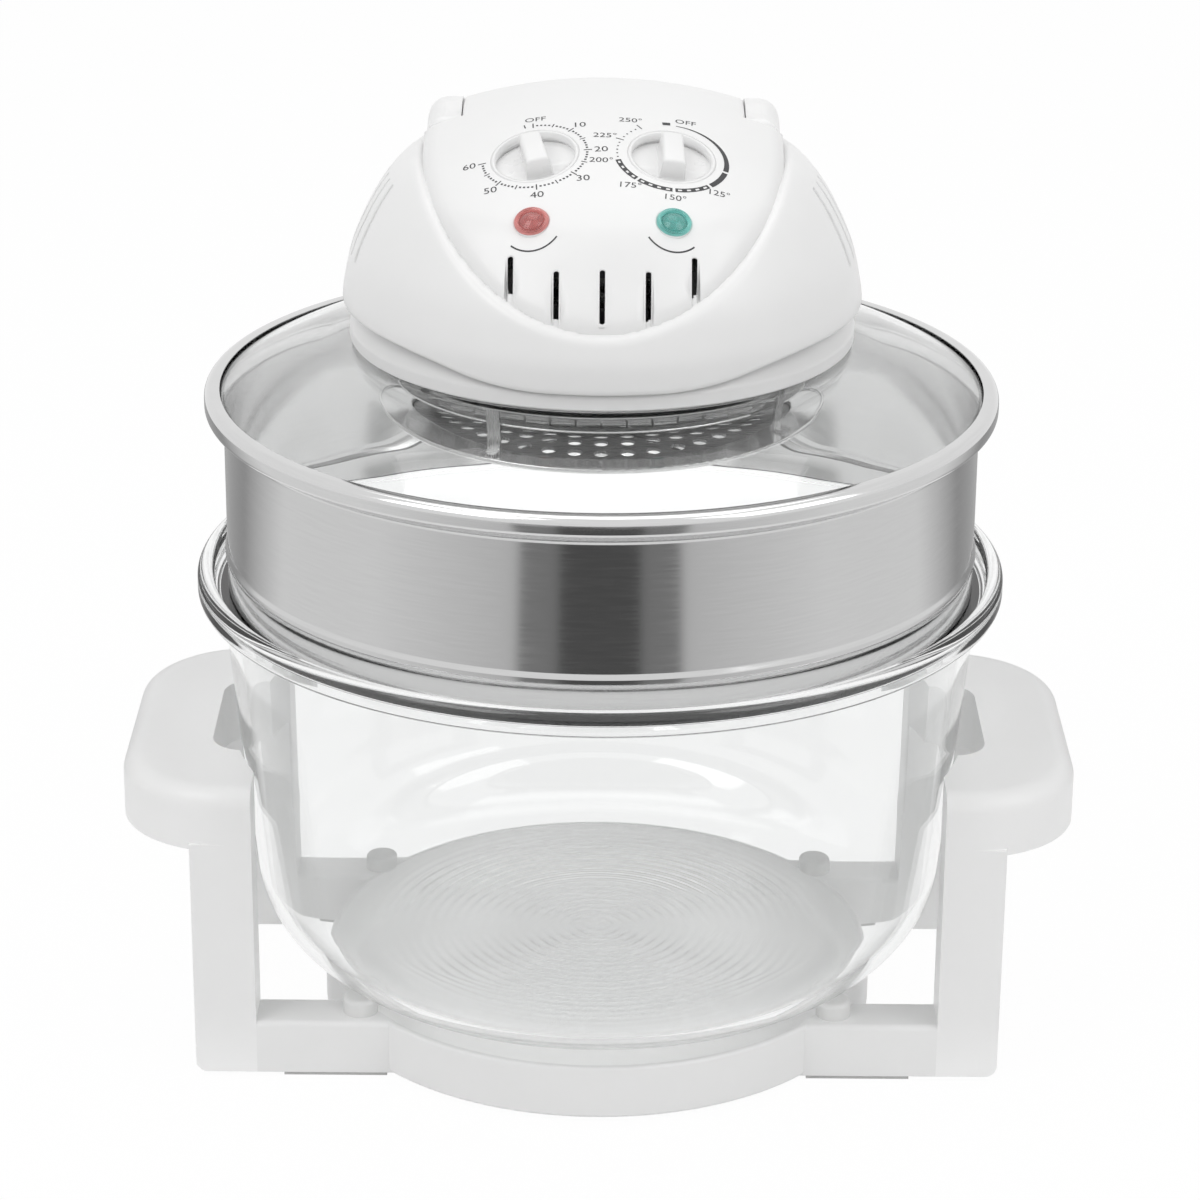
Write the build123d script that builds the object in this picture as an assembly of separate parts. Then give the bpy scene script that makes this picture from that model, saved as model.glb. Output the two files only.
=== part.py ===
from build123d import *
import math
import os

# Glass bowl convection oven, in millimetres.
# Z is up, z = 0 is the worktop, the bowl's axis is X = Y = 0 and the front faces -Y.

os.makedirs("parts", exist_ok=True)

# Clearances and common sheet and wall sizes
slip = 0.3
seam = 0.2
moulded_wall = 3.0
shell_wall = 2.5
sheet = 1.0
running = 0.05

# Stand
foot_proud = 1.5
foot_length = 43.0
foot_width = 16.0
tray_radius = 118.0
tray_top = 25.0
tray_floor = 9.0
bar_reach = 80.0
bar_depth = 22.0
post_inset = 0.6
post_width = 25.5
grip_reach = 31.0
grip_bottom = 103.0
grip_top = 130.0
grip_corner = 46.0
grip_rounding = 8.0
hand_gap_wall = 5.5
hand_gap_length = 76.0
stud_radius = 7.2
stud_x = 99.0
stud_crown = 0.5
tongue_length = 19.0
tongue_height = 20.0
stand_screw_radius = 2.0

# Glass bowl
glass = 4.5
bowl_base = 30.0
bowl_corner = 46.8
bowl_low_radius = 142.6
bowl_flare = 0.0958
bowl_rim_overhang = 9.7846
bowl_rim_bottom = 193.0
bowl_rim_height = 10.5
ledge_depth = 7.5
bowl_rim_lip = 7.0

# Steel extender ring
ring_play = 5.7
ring_height = 76.0
ring_bead = 0.9
ring_bead_height = 14.0
ring_flange = 4.7

# Lid
lid_rim_overhang = 3.0
lid_rim_height = 9.0
lid_rim_leg = 6.5
lid_rim_sheet = 1.0
lid_glass_thickness = 4.0
lid_hole_radius = 82.0
hub_radius = 98.0
hub_rise = 29.0
gasket = 1.0

# Head
skirt_radius = 103.0
skirt_step = 98.5
skirt_height = 22.0
housing_floor = 3.0
dome_radius = 105.6
dome_top = 380.5
lip_front = 309.5
lip_side = 318.0
shield_half_width = 72.5
shield_length = 99.7
shield_centre = 262.0
shield_rear = 313.0
crown_axis = 205.0
arm_pocket = 57.0
arm_pocket_front = 4.4

# Dials and lamps
dial_x = 27.0
dial_y = -39.0
well_radius = 17.5
well_depth = 8.0
knob_radius = 17.0
knob_rise = 12.3
knob_grip = 9.0
knob_grip_length = 20.4
knob_skirt = 3.5
knob_front_fall = 3.0
timer_turned = 8.0
thermostat_turned = 5.0
spindle_radius = 3.0
lamp_x = 27.5
lamp_y = -75.6
lamp_radius = 6.8
vent_width = 2.0
vent_spacing = 17.7
vent_low = 334.7
vent_rise = 68.0
vent_length = 20.5
vent_shortening = 0.165

# Carry handle
handle_pivot_y = 9.2
handle_pivot_z = 385.4
handle_pin_radius = 1.5
arm_end_radius = 4.2
arm_width = 14.0
arm_rounding = 8.5
grip_bar_front = 103.0
grip_bar_back = 117.0
grip_bar_bottom = 346.0
grip_bar_top = 361.0

# Heater
guard_level = 269.3
guard_radius = 76.6
guard_ring_radius = 91.0
guard_ring_step = 2.7
guard_hole = 2.95
guard_row = 64.2
guard_row_pitch = 10.1
guard_hole_pitch = 10.6
mesh_level = 285.0
strap_radius = 82.3
mesh_rim = 0.9
mesh_radius = strap_radius - sheet - mesh_rim - 0.05
tube_ring_radius = 62.0
tube_radius = 4.0
tube_gap_angle = 30.0
pan_radius = 87.5
strap_width = 6.0
strap_start_angle = -121.0

# Motor and fans
shaft_radius = 2.5
shaft_bottom = 287.3
shaft_top = 353.0
stator_length = 60.0
stator_width = 48.0
stator_height = 14.0
rotor_radius = 12.0
rotor_gap = 0.5
motor_level = 332.0
cooling_fan_radius = 36.0
convection_fan_radius = 50.0
blade_count = 9
bush_radius = 5.0
column_x = 44.0

# Cord entry
gland_bore = 3.6
gland_level = 334.0

# Heights and places that follow from the sizes above
seam_x = bowl_low_radius - post_inset
post_outer = seam_x + post_width
grip_outer = post_outer + grip_reach
hand_gap_reach = post_outer - hand_gap_wall
bowl_rim_radius = bowl_low_radius + bowl_flare * (bowl_rim_bottom - bowl_base) + bowl_rim_overhang
bowl_rim_top = bowl_rim_bottom + bowl_rim_height
ring_radius = bowl_rim_radius - bowl_rim_lip - ring_play
lid_rim_radius = ring_radius + ring_flange + lid_rim_overhang
bar_inner = bar_reach - bar_depth
bar_middle = bar_reach - bar_depth / 2
ledge = bowl_rim_bottom + seam + 2.8
ledge_inner = bowl_rim_radius - bowl_rim_lip - ledge_depth - 0.5
ring_bottom = ledge
ring_top = ring_bottom + ring_height
lid_bottom = ring_top
lid_top = lid_bottom + lid_rim_height
hub_level = lid_bottom + hub_rise

# Everything on the hub is written for a hub at hub_top, and save_head sets it on the lid
hub_top = 301.0
head_lift = hub_level - hub_top
hub_bottom = hub_top - lid_glass_thickness
housing_bottom = hub_top + gasket
housing_level = housing_bottom + housing_floor
raised_floor = housing_bottom + 8.0
inner_floor = raised_floor + housing_floor
pan_level = hub_bottom - gasket
pan_ceiling = housing_bottom - sheet


def outline(points, radii):
    """Closed profile through (radius, height) points, each corner rounded by its own radius."""
    path = FilletPolyline(*[(r, 0, z) for r, z in points], radius=radii, close=True)
    return make_face(path.edges())


def turned(points, radii=None):
    """Solid of revolution about Z from (radius, height) corners."""
    rounding = radii or [0] * len(points)
    return revolve(outline(points, rounding), Axis.Z)


def sheet_band(points, thickness):
    """Corners of a band of even thickness on the left of an open (radius, height) path."""
    inner = []
    for i, here in enumerate(points):
        before = points[max(i - 1, 0)]
        after = points[min(i + 1, len(points) - 1)]
        first = Vector(here[0] - before[0], here[1] - before[1])
        second = Vector(after[0] - here[0], after[1] - here[1])
        if i == 0:
            first = second
        if i == len(points) - 1:
            second = first
        normal = Vector(-first.Y, first.X).normalized() + Vector(-second.Y, second.X).normalized()
        reach = 2 * thickness / normal.length
        step = normal.normalized() * reach
        inner.append((here[0] + step.X, here[1] + step.Y))
    return list(points) + inner[::-1]


def curved_shell(points, thickness, start, end):
    """Shell of revolution under a smooth outer curve, closed on the axis side by its two ends."""
    pairs = sheet_band(points, thickness)
    outer = [(r, 0, z) for r, z in pairs[: len(points)]]
    inner = [(r, 0, z) for r, z in pairs[len(points):]]
    top = Spline(*outer, tangents=[start, end])
    bottom = Spline(*inner, tangents=[end * -1, start * -1])
    sides = [Line(top @ 1, bottom @ 0), Line(bottom @ 1, top @ 0)]
    return revolve(make_face([top, bottom] + sides), Axis.Z)


def block(x, y, z):
    """Box between three pairs of (low, high) limits."""
    size = (x[1] - x[0], y[1] - y[0], z[1] - z[0])
    centre = ((x[0] + x[1]) / 2, (y[0] + y[1]) / 2, (z[0] + z[1]) / 2)
    return Pos(*centre) * Box(*size)


def post(x, y, radius, low, high):
    """Upright round bar between two heights."""
    return Pos(x, y, (low + high) / 2) * Cylinder(radius, high - low)


def disc(radius, low, high):
    return post(0, 0, radius, low, high)


def at(angle, radius):
    """Plan position at an angle from +X and a radius."""
    turn = math.radians(angle)
    return radius * math.cos(turn), radius * math.sin(turn)


def joined(pieces):
    """Separate pieces written as one node."""
    return Compound(children=[solid for piece in pieces for solid in piece.solids()])


def save(name, shape):
    solids = shape.solids()
    export_step(solids[0] if len(solids) == 1 else Compound(children=solids), f"parts/{name}.step")
    print(name, len(solids), round(sum(solid.volume for solid in solids) / 1000, 2), "cm3")


def save_head(name, shape):
    save(name, Pos(0, 0, head_lift) * Compound(children=list(shape.solids())))


def mirrored_x(shape):
    return mirror(shape, Plane.YZ)


# Glass bowl
def bowl_radius(height):
    """Outer radius of the bowl's wall, with its rounded corner below."""
    corner_x = bowl_low_radius - bowl_corner * math.tan(math.pi / 4 + math.atan(bowl_flare) / 2) ** -1
    arc_top = bowl_base + bowl_corner
    if height < arc_top - 4:
        return corner_x + math.sqrt(bowl_corner**2 - (arc_top - height) ** 2)
    return bowl_low_radius + bowl_flare * (height - bowl_base)


def bowl_underside(radius):
    """Height of the bowl's outer surface above a point near its corner."""
    corner_x = bowl_low_radius - bowl_corner * math.tan(math.pi / 4 + math.atan(bowl_flare) / 2) ** -1
    reach = max(radius - corner_x, 0)
    return bowl_base + bowl_corner - math.sqrt(bowl_corner**2 - reach**2)


def make_bowl():
    wall_top = bowl_low_radius + bowl_flare * (bowl_rim_bottom - bowl_base)
    inner_low = bowl_low_radius + bowl_flare * glass - glass * math.sqrt(1 + bowl_flare**2)
    lip_inner = bowl_rim_radius - bowl_rim_lip
    points = [
        (0, bowl_base),
        (bowl_low_radius, bowl_base),
        (wall_top, bowl_rim_bottom),
        (bowl_rim_radius, bowl_rim_bottom),
        (bowl_rim_radius, bowl_rim_top),
        (lip_inner, bowl_rim_top),
        (lip_inner, ledge),
        (ledge_inner, ledge),
        (inner_low, bowl_base + glass),
        (0, bowl_base + glass),
    ]
    radii = [0, bowl_corner, 3.0, 2.5, 2.5, 2.5, 0.8, 1.0, bowl_corner - glass, 0]
    return turned(points, radii)


# Stand
def half_plan(outer_corner):
    """Plan outline of one side handle, from the bar seam out to the grip."""
    points = [
        (seam_x, -bar_reach),
        (grip_outer, -bar_reach),
        (grip_outer, bar_reach),
        (seam_x, bar_reach),
    ]
    radii = [0, outer_corner, outer_corner, 0]
    path = FilletPolyline(*[(x, y, 0) for x, y in points], radius=radii, close=True)
    return make_face(path.edges())


def grip_plan(inset):
    """Plan of the grip less the room for the bowl and for the fingers."""
    whole = half_plan(grip_corner)
    if inset:
        whole = offset(whole, -inset, kind=Kind.ARC)
    bowl_room = bowl_radius(grip_top) + bowl_flare + 2.0 + inset
    fingers = Pos(hand_gap_reach - hand_gap_reach / 2 + inset, 0) * RectangleRounded(
        hand_gap_reach, hand_gap_length + 2 * inset, 14.0 + inset
    )
    return whole - Circle(bowl_room) - fingers


def make_side_handle():
    grip_depth = grip_top - grip_bottom
    grip = Pos(0, 0, grip_bottom) * extrude(grip_plan(0), grip_depth)
    rims = grip.faces().sort_by(Axis.Z)
    outer_edges = [e for e in rims[-1].edges() if e.center().X > hand_gap_reach]
    grip = fillet(outer_edges, grip_rounding)
    hollow = Pos(0, 0, grip_bottom - 1) * extrude(grip_plan(moulded_wall + 1), grip_depth - moulded_wall + 1)
    post_inner = (seam_x, post_outer)
    legs = []
    for side in (-1, 1):
        reach = sorted((side * bar_reach, side * bar_inner))
        leg = block(post_inner, reach, (foot_proud, grip_bottom + moulded_wall))
        foot_edges = leg.edges().filter_by(Axis.Y).group_by(Axis.Z)[0].sort_by(Axis.X)
        leg = fillet(foot_edges[-1], 5.0)
        legs.append(leg)
    room = disc(bowl_radius(grip_top) + 2.0, 60, grip_bottom + moulded_wall + 1)
    body = grip - hollow + legs[0] + legs[1] - room
    for side in (-1, 1):
        y = sorted((side * (bar_reach - moulded_wall), side * (bar_inner + moulded_wall)))
        pocket_x = (seam_x - 1, post_outer - moulded_wall)
        body -= block(pocket_x, y, (foot_proud - 1, foot_proud + tongue_height + seam))
        web = foot_proud + tongue_height + seam + 2 * moulded_wall
        screw_x = seam_x + tongue_length / 2
        body -= post(screw_x, side * bar_middle, stand_screw_radius, foot_proud, web - 1)
    return body


def make_stand_base():
    tray = turned(
        [
            (0, tray_floor),
            (tray_radius - 2 * moulded_wall, tray_floor),
            (tray_radius - moulded_wall, tray_top),
            (tray_radius, tray_top),
            (tray_radius, foot_proud),
            (tray_radius - moulded_wall, foot_proud),
            (tray_radius - moulded_wall, tray_floor - moulded_wall),
            (0, tray_floor - moulded_wall),
        ],
        [0, 6.0, 1.2, 1.4, 2.0, 0.5, 2.0, 0],
    )
    inner_room = disc(tray_radius - moulded_wall, tray_floor, tray_top + 1)
    under_room = disc(tray_radius - moulded_wall, foot_proud - 1, tray_floor - moulded_wall)
    base = tray
    for side in (-1, 1):
        y = sorted((side * bar_reach, side * bar_inner))
        bar = block((-seam_x, seam_x), y, (foot_proud, tray_top))
        upper = bar.edges().filter_by(Axis.X).group_by(Axis.Z)[-1]
        bar = fillet(upper, 2.5)
        hollow_y = sorted((side * (bar_reach - moulded_wall), side * (bar_inner + moulded_wall)))
        hollow_x = (-seam_x + moulded_wall, seam_x - moulded_wall)
        bar -= block(hollow_x, hollow_y, (foot_proud - 1, tray_top - moulded_wall))
        base += bar - inner_room - under_room
        for end in (-1, 1):
            pocket = bar_reach - bar_inner - 2 * moulded_wall - 2 * seam
            tongue_x = sorted((end * (seam_x - moulded_wall), end * (seam_x + tongue_length)))
            tongue_y = (side * bar_middle - pocket / 2, side * bar_middle + pocket / 2)
            tongue = block(tongue_x, tongue_y, (foot_proud, foot_proud + tongue_height))
            screw_x = end * (seam_x + tongue_length / 2)
            tongue -= post(screw_x, side * bar_middle, stand_screw_radius, foot_proud, foot_proud + tongue_height)
            tongue -= post(screw_x, side * bar_middle, 2 * stand_screw_radius, foot_proud, foot_proud + 3.0)
            base += tongue
    for x in (-stud_x, stud_x):
        for side in (-1, 1):
            base -= post(x, side * bar_middle, stud_radius - 3.0, tray_top - moulded_wall - 1, tray_top)
    return base


def bar_spots(x):
    """The four mirrored places above the two crossbars."""
    return [(sx * x, sy * bar_middle) for sx in (-1, 1) for sy in (-1, 1)]


def make_feet():
    feet = []
    inner_x = tray_radius * math.cos(math.asin(bar_inner / tray_radius)) + 1
    for x, y in bar_spots(inner_x + foot_length / 2 - 16):
        pad = Pos(x, y, foot_proud / 2) * Box(foot_length, bar_depth - 1, foot_proud)
        pad += Pos(x, y, foot_proud + 2) * Box(foot_width, bar_depth - 2 * moulded_wall - 1, 4)
        feet.append(pad)
    return feet


def make_studs():
    studs = []
    for x, y in bar_spots(stud_x):
        near = math.hypot(abs(x) - stud_radius * 0.7, abs(y) - stud_radius * 0.7)
        slope = bowl_underside(math.hypot(x, y)) - bowl_underside(near)
        top = bowl_underside(near) - slip + min(stud_crown, 0.4 * slope)
        head = post(x, y, stud_radius, tray_top, top)
        head = fillet(head.edges().group_by(Axis.Z)[-1], 2.0)
        studs.append(head + post(x, y, stud_radius - 3.0 - seam, tray_top - moulded_wall - 1, tray_top))
    return studs


def make_stand_screws():
    screws = []
    for x, y in bar_spots(seam_x + tongue_length / 2):
        shank = post(x, y, stand_screw_radius - seam / 2, foot_proud + 0.6, foot_proud + tongue_height + 5)
        head = post(x, y, 2 * stand_screw_radius - seam, foot_proud + 0.6, foot_proud + 3.0)
        screws.append(shank + head)
    return screws


# Extender ring and lid
def make_ring():
    bead = ring_bottom + ring_bead_height
    path = [
        (ring_radius, ring_bottom),
        (ring_radius, bead),
        (ring_radius + ring_bead, bead + 1.3),
        (ring_radius + ring_bead, bead + 2.7),
        (ring_radius, bead + 4.0),
        (ring_radius, ring_top - 0.001),
        (ring_radius + ring_flange, ring_top),
    ]
    wall = sheet_band(path[:6], sheet)
    flange = disc(ring_radius + ring_flange, ring_top - sheet, ring_top) - disc(ring_radius, 0, ring_top + 1)
    return turned(wall) + flange


def make_lid_rim():
    inner = lid_rim_radius - lid_rim_leg
    leg = lid_rim_sheet
    bend = 0.5
    points = [
        (inner, lid_bottom),
        (lid_rim_radius, lid_bottom),
        (lid_rim_radius, lid_top),
        (inner + 0.1, lid_top),
        (inner + 0.1, lid_top - leg),
        (lid_rim_radius - leg, lid_top - leg),
        (lid_rim_radius - leg, lid_bottom + leg),
        (inner, lid_bottom + leg),
    ]
    return turned(points, [0, bend + leg, bend + leg, 0, 0, bend, bend, 0])


def make_lid_glass():
    edge = lid_rim_radius - 1.1
    flat = edge - 5.0
    low = lid_top - 1.4
    rise = hub_level - low
    run = flat - hub_radius
    top = [
        (flat, 0, low),
        (flat - 0.13 * run, 0, low + 0.18 * rise),
        (flat - 0.40 * run, 0, low + 0.51 * rise),
        (flat - 0.70 * run, 0, low + 0.80 * rise),
        (hub_radius, 0, hub_level),
    ]
    drop = Vector(0, 0, -lid_glass_thickness)
    curve = Spline(*top, tangents=[(-2, 0, 1), (-1, 0, 0)])
    lower = curve.moved(Location(drop))
    corners = [Vector(lid_hole_radius, 0, hub_level), Vector(edge, 0, low)]
    sides = [
        Line(curve @ 1, corners[0]),
        Line(corners[0], corners[0] + drop),
        Line(corners[0] + drop, lower @ 1),
        Line(lower @ 0, corners[1] + drop),
        Line(corners[1] + drop, corners[1]),
        Line(corners[1], curve @ 0),
    ]
    return revolve(make_face([curve, lower] + sides), Axis.Z)


def make_gasket(low):
    inner = lid_hole_radius + 0.5
    outer = hub_radius - slip if low > hub_bottom else pan_radius
    return disc(outer, low, low + gasket) - disc(inner, low - 1, low + gasket + 1)


# Head shells
dome_line = [
    (dome_radius, 319.0),
    (dome_radius - 1.2, 328.0),
    (dome_radius - 3.0, 336.5),
    (dome_radius - 9.5, 353.0),
    (dome_radius - 20.1, 370.0),
    (dome_radius - 28.6, 377.4),
    (dome_radius - 36.0, dome_top - 0.4),
    (dome_radius - 45.6, dome_top),
]

roof_line = [
    (-116, 322),
    (-95, 354),
    (-78, 371),
    (-61, 380),
    (-44, 387),
    (-22, 394.3),
    (11, 400.6),
    (37, 398.8),
    (64, 388.5),
]


def dome_height(radius):
    """Height of the dome's outer surface at a radius, read off its outline."""
    curve = Spline(*[(r, 0, z) for r, z in dome_line], tangents=[(0, 0, 1), (-1, 0, 0)])
    if radius <= dome_line[-1][0]:
        return dome_top
    low, high = 0.0, 1.0
    for _ in range(40):
        middle = (low + high) / 2
        low, high = (middle, high) if (curve @ middle).X > radius else (low, middle)
    return (curve @ low).Z


def dome_solid(inset):
    """The dome's whole volume, drawn in from its outside by a wall."""
    pairs = sheet_band(dome_line, inset) if inset else list(dome_line) * 2
    line = pairs[len(dome_line):][::-1] if inset else dome_line
    curve = Spline(*[(r, 0, z) for r, z in line], tangents=[(0, 0, 1), (-1, 0, 0)])
    foot = Vector((curve @ 0).X, 0, lip_front - (10 if inset else 0))
    peak = Vector(0, 0, (curve @ 1).Z)
    base = Vector(0, 0, foot.Z)
    sides = [Line(curve @ 1, peak), Line(peak, base), Line(base, foot), Line(foot, curve @ 0)]
    return revolve(make_face([curve] + sides), Axis.Z)


def shield_prism(gap):
    """Slanted prism of the shield-shaped opening in the dome, drawn in by a gap."""
    slant = Plane(origin=(0, 0, 0), x_dir=(1, 0, 0), z_dir=(0, -1, 1))
    half = shield_half_width - gap
    rear = shield_rear - gap
    nose = EllipticalCenterArc((0, shield_centre), half, shield_length - gap, start_angle=180, arc_size=180)
    corners = [(half, shield_centre), (half, rear), (-half, rear), (-half, shield_centre)]
    sides = Polyline(*corners)
    face = make_face(nose.edges() + sides.edges())
    prism = extrude(slant * Pos(0, 0, 222.0) * face, 240.0)
    pocket_y = (arm_pocket_front - gap, 120)
    for side in (-1, 1):
        x = sorted((side * (arm_pocket - gap), side * 120))
        prism -= block(x, pocket_y, (300, 460))
    return prism


def roof_body(drop):
    """Crowned roof: its centre line turned about a level axis below it."""
    curve = Spline(*[(0, y, z - drop) for y, z in roof_line])
    start, end = curve @ 0, curve @ 1
    corners = [Vector(0, end.Y, crown_axis), Vector(0, start.Y, crown_axis)]
    sides = [Line(end, corners[0]), Line(corners[0], corners[1]), Line(corners[1], start)]
    return revolve(make_face([curve] + sides), Axis((0, 0, crown_axis), (0, 1, 0)))


def panel_body(gap, drop):
    """The panel's pillow shape: shield plan, crowned roof and a steep rounded front."""
    roof = roof_body(drop)
    front_line = [
        (dome_radius - 2.4, 326),
        (dome_radius - 3.1, 336),
        (dome_radius - 5.9, 345.5),
        (dome_radius - 10.0, 355),
        (dome_radius - 13.6, 367),
        (dome_radius - 16.6, 385),
        (dome_radius - 17.0, 404),
    ]
    shifted = [(r - drop, 0, z) for r, z in front_line]
    curve = Spline(*shifted)
    start, end = curve @ 0, curve @ 1
    base, peak = Vector(0, 0, start.Z), Vector(0, 0, end.Z)
    sides = [Line(end, peak), Line(peak, base), Line(base, start)]
    front = revolve(make_face([curve] + sides), Axis.Z)
    return shield_prism(gap) & roof & front


def roof_point(x, y):
    """Point and outward normal of the panel's roof."""
    curve = Spline(*[(0, a, b) for a, b in roof_line])
    low, high = 0.0, 1.0
    for _ in range(40):
        middle = (low + high) / 2
        low, high = (middle, high) if (curve @ middle).Y < y else (low, middle)
    spot, along = curve @ low, curve % low
    reach = spot.Z - crown_axis
    height = math.sqrt(reach**2 - x**2)
    normal = Vector(x, -reach * along.Z / along.Y, height).normalized()
    return Vector(x, y, crown_axis + height), normal


def roof_plane(x, y):
    spot, normal = roof_point(x, y)
    return Plane(origin=spot, x_dir=(normal.Z, 0, -normal.X), z_dir=normal)


timer_plane = roof_plane(-dial_x, dial_y)
thermostat_plane = roof_plane(dial_x, dial_y)
power_plane = roof_plane(-lamp_x, lamp_y)
heat_plane = roof_plane(lamp_x, lamp_y)


def bored(plane, radius, low, high):
    """Round bar along a plane's normal between two depths."""
    return plane * Pos(0, 0, (low + high) / 2) * Cylinder(radius, high - low)


def make_panel():
    outer = panel_body(seam, 0)
    inner = panel_body(seam + shell_wall, shell_wall)
    panel = outer - inner
    cup_floor = well_depth + 2.0
    for plane in (timer_plane, thermostat_plane):
        panel += bored(plane, well_radius + 2.0, -cup_floor, -1.6)
        panel -= bored(plane, well_radius, -well_depth, 20)
        panel -= bored(plane, spindle_radius + 1.0, -cup_floor - 1, 0)
        for side in (-1, 1):
            place = plane * Pos(side * control_screw_offset, 0, 0)
            panel -= place * Pos(0, 0, -well_depth - 1) * Cylinder(control_screw + running, 4)
            panel -= place * Pos(0, 0, -well_depth) * Cylinder(control_screw_head + running, 2.2)
    for plane in (power_plane, heat_plane):
        panel -= bored(plane, lamp_radius + running, -20, 20)
    for step in range(-2, 3):
        x = step * vent_spacing
        edge = math.sqrt(1 - (x / shield_half_width) ** 2)
        low = vent_bottom(x)
        length = vent_length - vent_shortening * abs(x)
        panel -= block((x - vent_width / 2, x + vent_width / 2), (-112, -98 * edge + 6), (low, low + length))
    panel -= dome_solid(14.0)
    pin_line = Pos(0, handle_pivot_y, handle_pivot_z) * Rot(0, 90, 0)
    return panel - pin_line * Cylinder(handle_pin_radius, 2 * arm_pocket + 4)


def vent_bottom(x):
    """Lower end of a vent slot, just inside the panel's lower edge."""
    reach = 1 - math.sqrt(1 - (x / shield_half_width) ** 2)
    return vent_low + reach * vent_rise


def make_cover():
    cover = dome_solid(0) - dome_solid(shell_wall)
    cover -= shield_prism(0)
    wave_half, wave_end = 40.0, 76.0
    wide = dome_radius + 10
    wave = [
        (-wide, lip_front - 10),
        (-wide, lip_side),
        (-wave_end, lip_side),
        (-wave_half, lip_front),
        (wave_half, lip_front),
        (wave_end, lip_side),
        (wide, lip_side),
        (wide, lip_front - 10),
    ]
    path = FilletPolyline(*[(x, 0, z) for x, z in wave], radius=[0, 0, 150, 150, 150, 150, 0, 0], close=True)
    cover -= extrude(make_face(path.edges()), wide, both=True)
    for side in (-1, 1):
        for step in range(6):
            angle = -90 + side * (louvre_start + louvre_pitch * step)
            slot = Rot(0, 0, angle) * block((dome_radius - 26, dome_radius + 3), (-0.8, 0.8), (338, 369))
            cover -= slot
        for angle in (62, 138):
            x, y = at(-90 + side * angle, cover_column_radius)
            column = post(x, y, 3.5, housing_level, 362)
            column &= dome_solid(1.0)
            cover += column
            cover -= post(x, y, 1.4, housing_level - 1, housing_level + 14)
    gland_hole = Pos(0, dome_radius - 6, gland_level) * Rot(90, 0, 0) * Cylinder(gland_bore + 3.0, 24)
    cover -= gland_hole
    cover -= post(plunger_x, plunger_y, plunger_radius + running, dome_top - 12, dome_top + 4)
    for peg_y in peg_places:
        peg = block((plunger_x - 4.0, plunger_x + 4.0), (peg_y - 1.3, peg_y + 1.3), (switch_top, dome_top))
        cover += peg & dome_solid(1.0)
    return cover


cover_column_radius = 91.0
louvre_start = 76.0
louvre_pitch = 6.0
plunger_x = -64.0
plunger_y = 20.0
plunger_radius = 1.6
switch_top = 374.0
peg_places = (plunger_y - 7.5, plunger_y + 7.5)


def make_housing():
    points = [
        (shaft_radius + 3.5, inner_floor),
        (shaft_radius + 3.5, raised_floor),
        (lid_hole_radius - 2, raised_floor),
        (lid_hole_radius - 2, housing_bottom),
        (skirt_radius - 1.2, housing_bottom),
        (skirt_radius, housing_bottom + 0.8),
        (skirt_radius, housing_bottom + 6),
        (skirt_step, housing_bottom + 12.5),
        (skirt_step, housing_bottom + skirt_height),
        (skirt_step - shell_wall, housing_bottom + skirt_height),
        (skirt_step - shell_wall, housing_bottom + 11.5),
        (skirt_radius - shell_wall, housing_bottom + 5.5),
        (skirt_radius - shell_wall, housing_level),
        (lid_hole_radius + 1, housing_level),
        (lid_hole_radius + 1, inner_floor),
    ]
    radii = [0, 0, 0.5, 0, 0.3, 0.6, 3.0, 1.5, 0.6, 0.6, 1.0, 1.0, 0, 0, 1.0]
    housing = turned(points, radii)
    for x, y in pan_spots:
        housing += post(x, y, 4.0, pan_ceiling + sheet, raised_floor)
        housing -= post(x, y, 1.5, pan_ceiling, inner_floor + 1)
    for side in (-1, 1):
        housing += post(side * column_x, 0, 4.5, inner_floor, motor_level - 1.5)
        housing -= post(side * column_x, 0, 1.4, inner_floor + 2, motor_level)
        for angle in (62, 138):
            x, y = at(-90 + side * angle, cover_column_radius)
            housing -= post(x, y, 1.7, housing_bottom - 1, housing_level + 1)
            housing -= post(x, y, 3.3, housing_bottom - 1, housing_bottom + 1.8)
    return housing


pan_spots = [at(45 + 90 * i, 72.0) for i in range(4)]


def make_cover_screws():
    screws = []
    for side in (-1, 1):
        for angle in (62, 138):
            x, y = at(-90 + side * angle, cover_column_radius)
            head = post(x, y, 3.1, housing_bottom + 0.2, housing_bottom + 1.8)
            screws.append(head + post(x, y, 1.3, housing_bottom + 1.8, housing_level + 12))
    return screws


# Heater
def make_pan():
    points = [
        (0, pan_ceiling),
        (lid_hole_radius - 4, pan_ceiling),
        (lid_hole_radius - 2, pan_level - sheet),
        (pan_radius, pan_level - sheet),
        (pan_radius, pan_level),
        (lid_hole_radius - 1.2, pan_level),
        (lid_hole_radius - 3.2, pan_ceiling + sheet),
        (0, pan_ceiling + sheet),
    ]
    pan = turned(points) - disc(shaft_radius + 4, pan_ceiling - 1, pan_ceiling + 2)
    for x, y in pan_spots:
        pan -= post(x, y, 1.8, pan_ceiling - 1, pan_ceiling + 2)
    return pan


def make_insulation():
    radius = lid_hole_radius - 3.5
    wool = disc(radius, pan_ceiling + sheet, raised_floor) - disc(shaft_radius + 5, 0, raised_floor + 1)
    for x, y in pan_spots:
        wool -= post(x, y, 4.0 + slip, 0, raised_floor + 1)
    return wool


def make_pan_screws():
    screws = []
    for x, y in pan_spots:
        head = post(x, y, 3.2, pan_ceiling - 2.0, pan_ceiling)
        screws.append(head + post(x, y, 1.5, pan_ceiling, inner_floor - 0.5))
    return screws


strap_angles = [strap_start_angle + 90 * i for i in range(4)]


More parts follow.
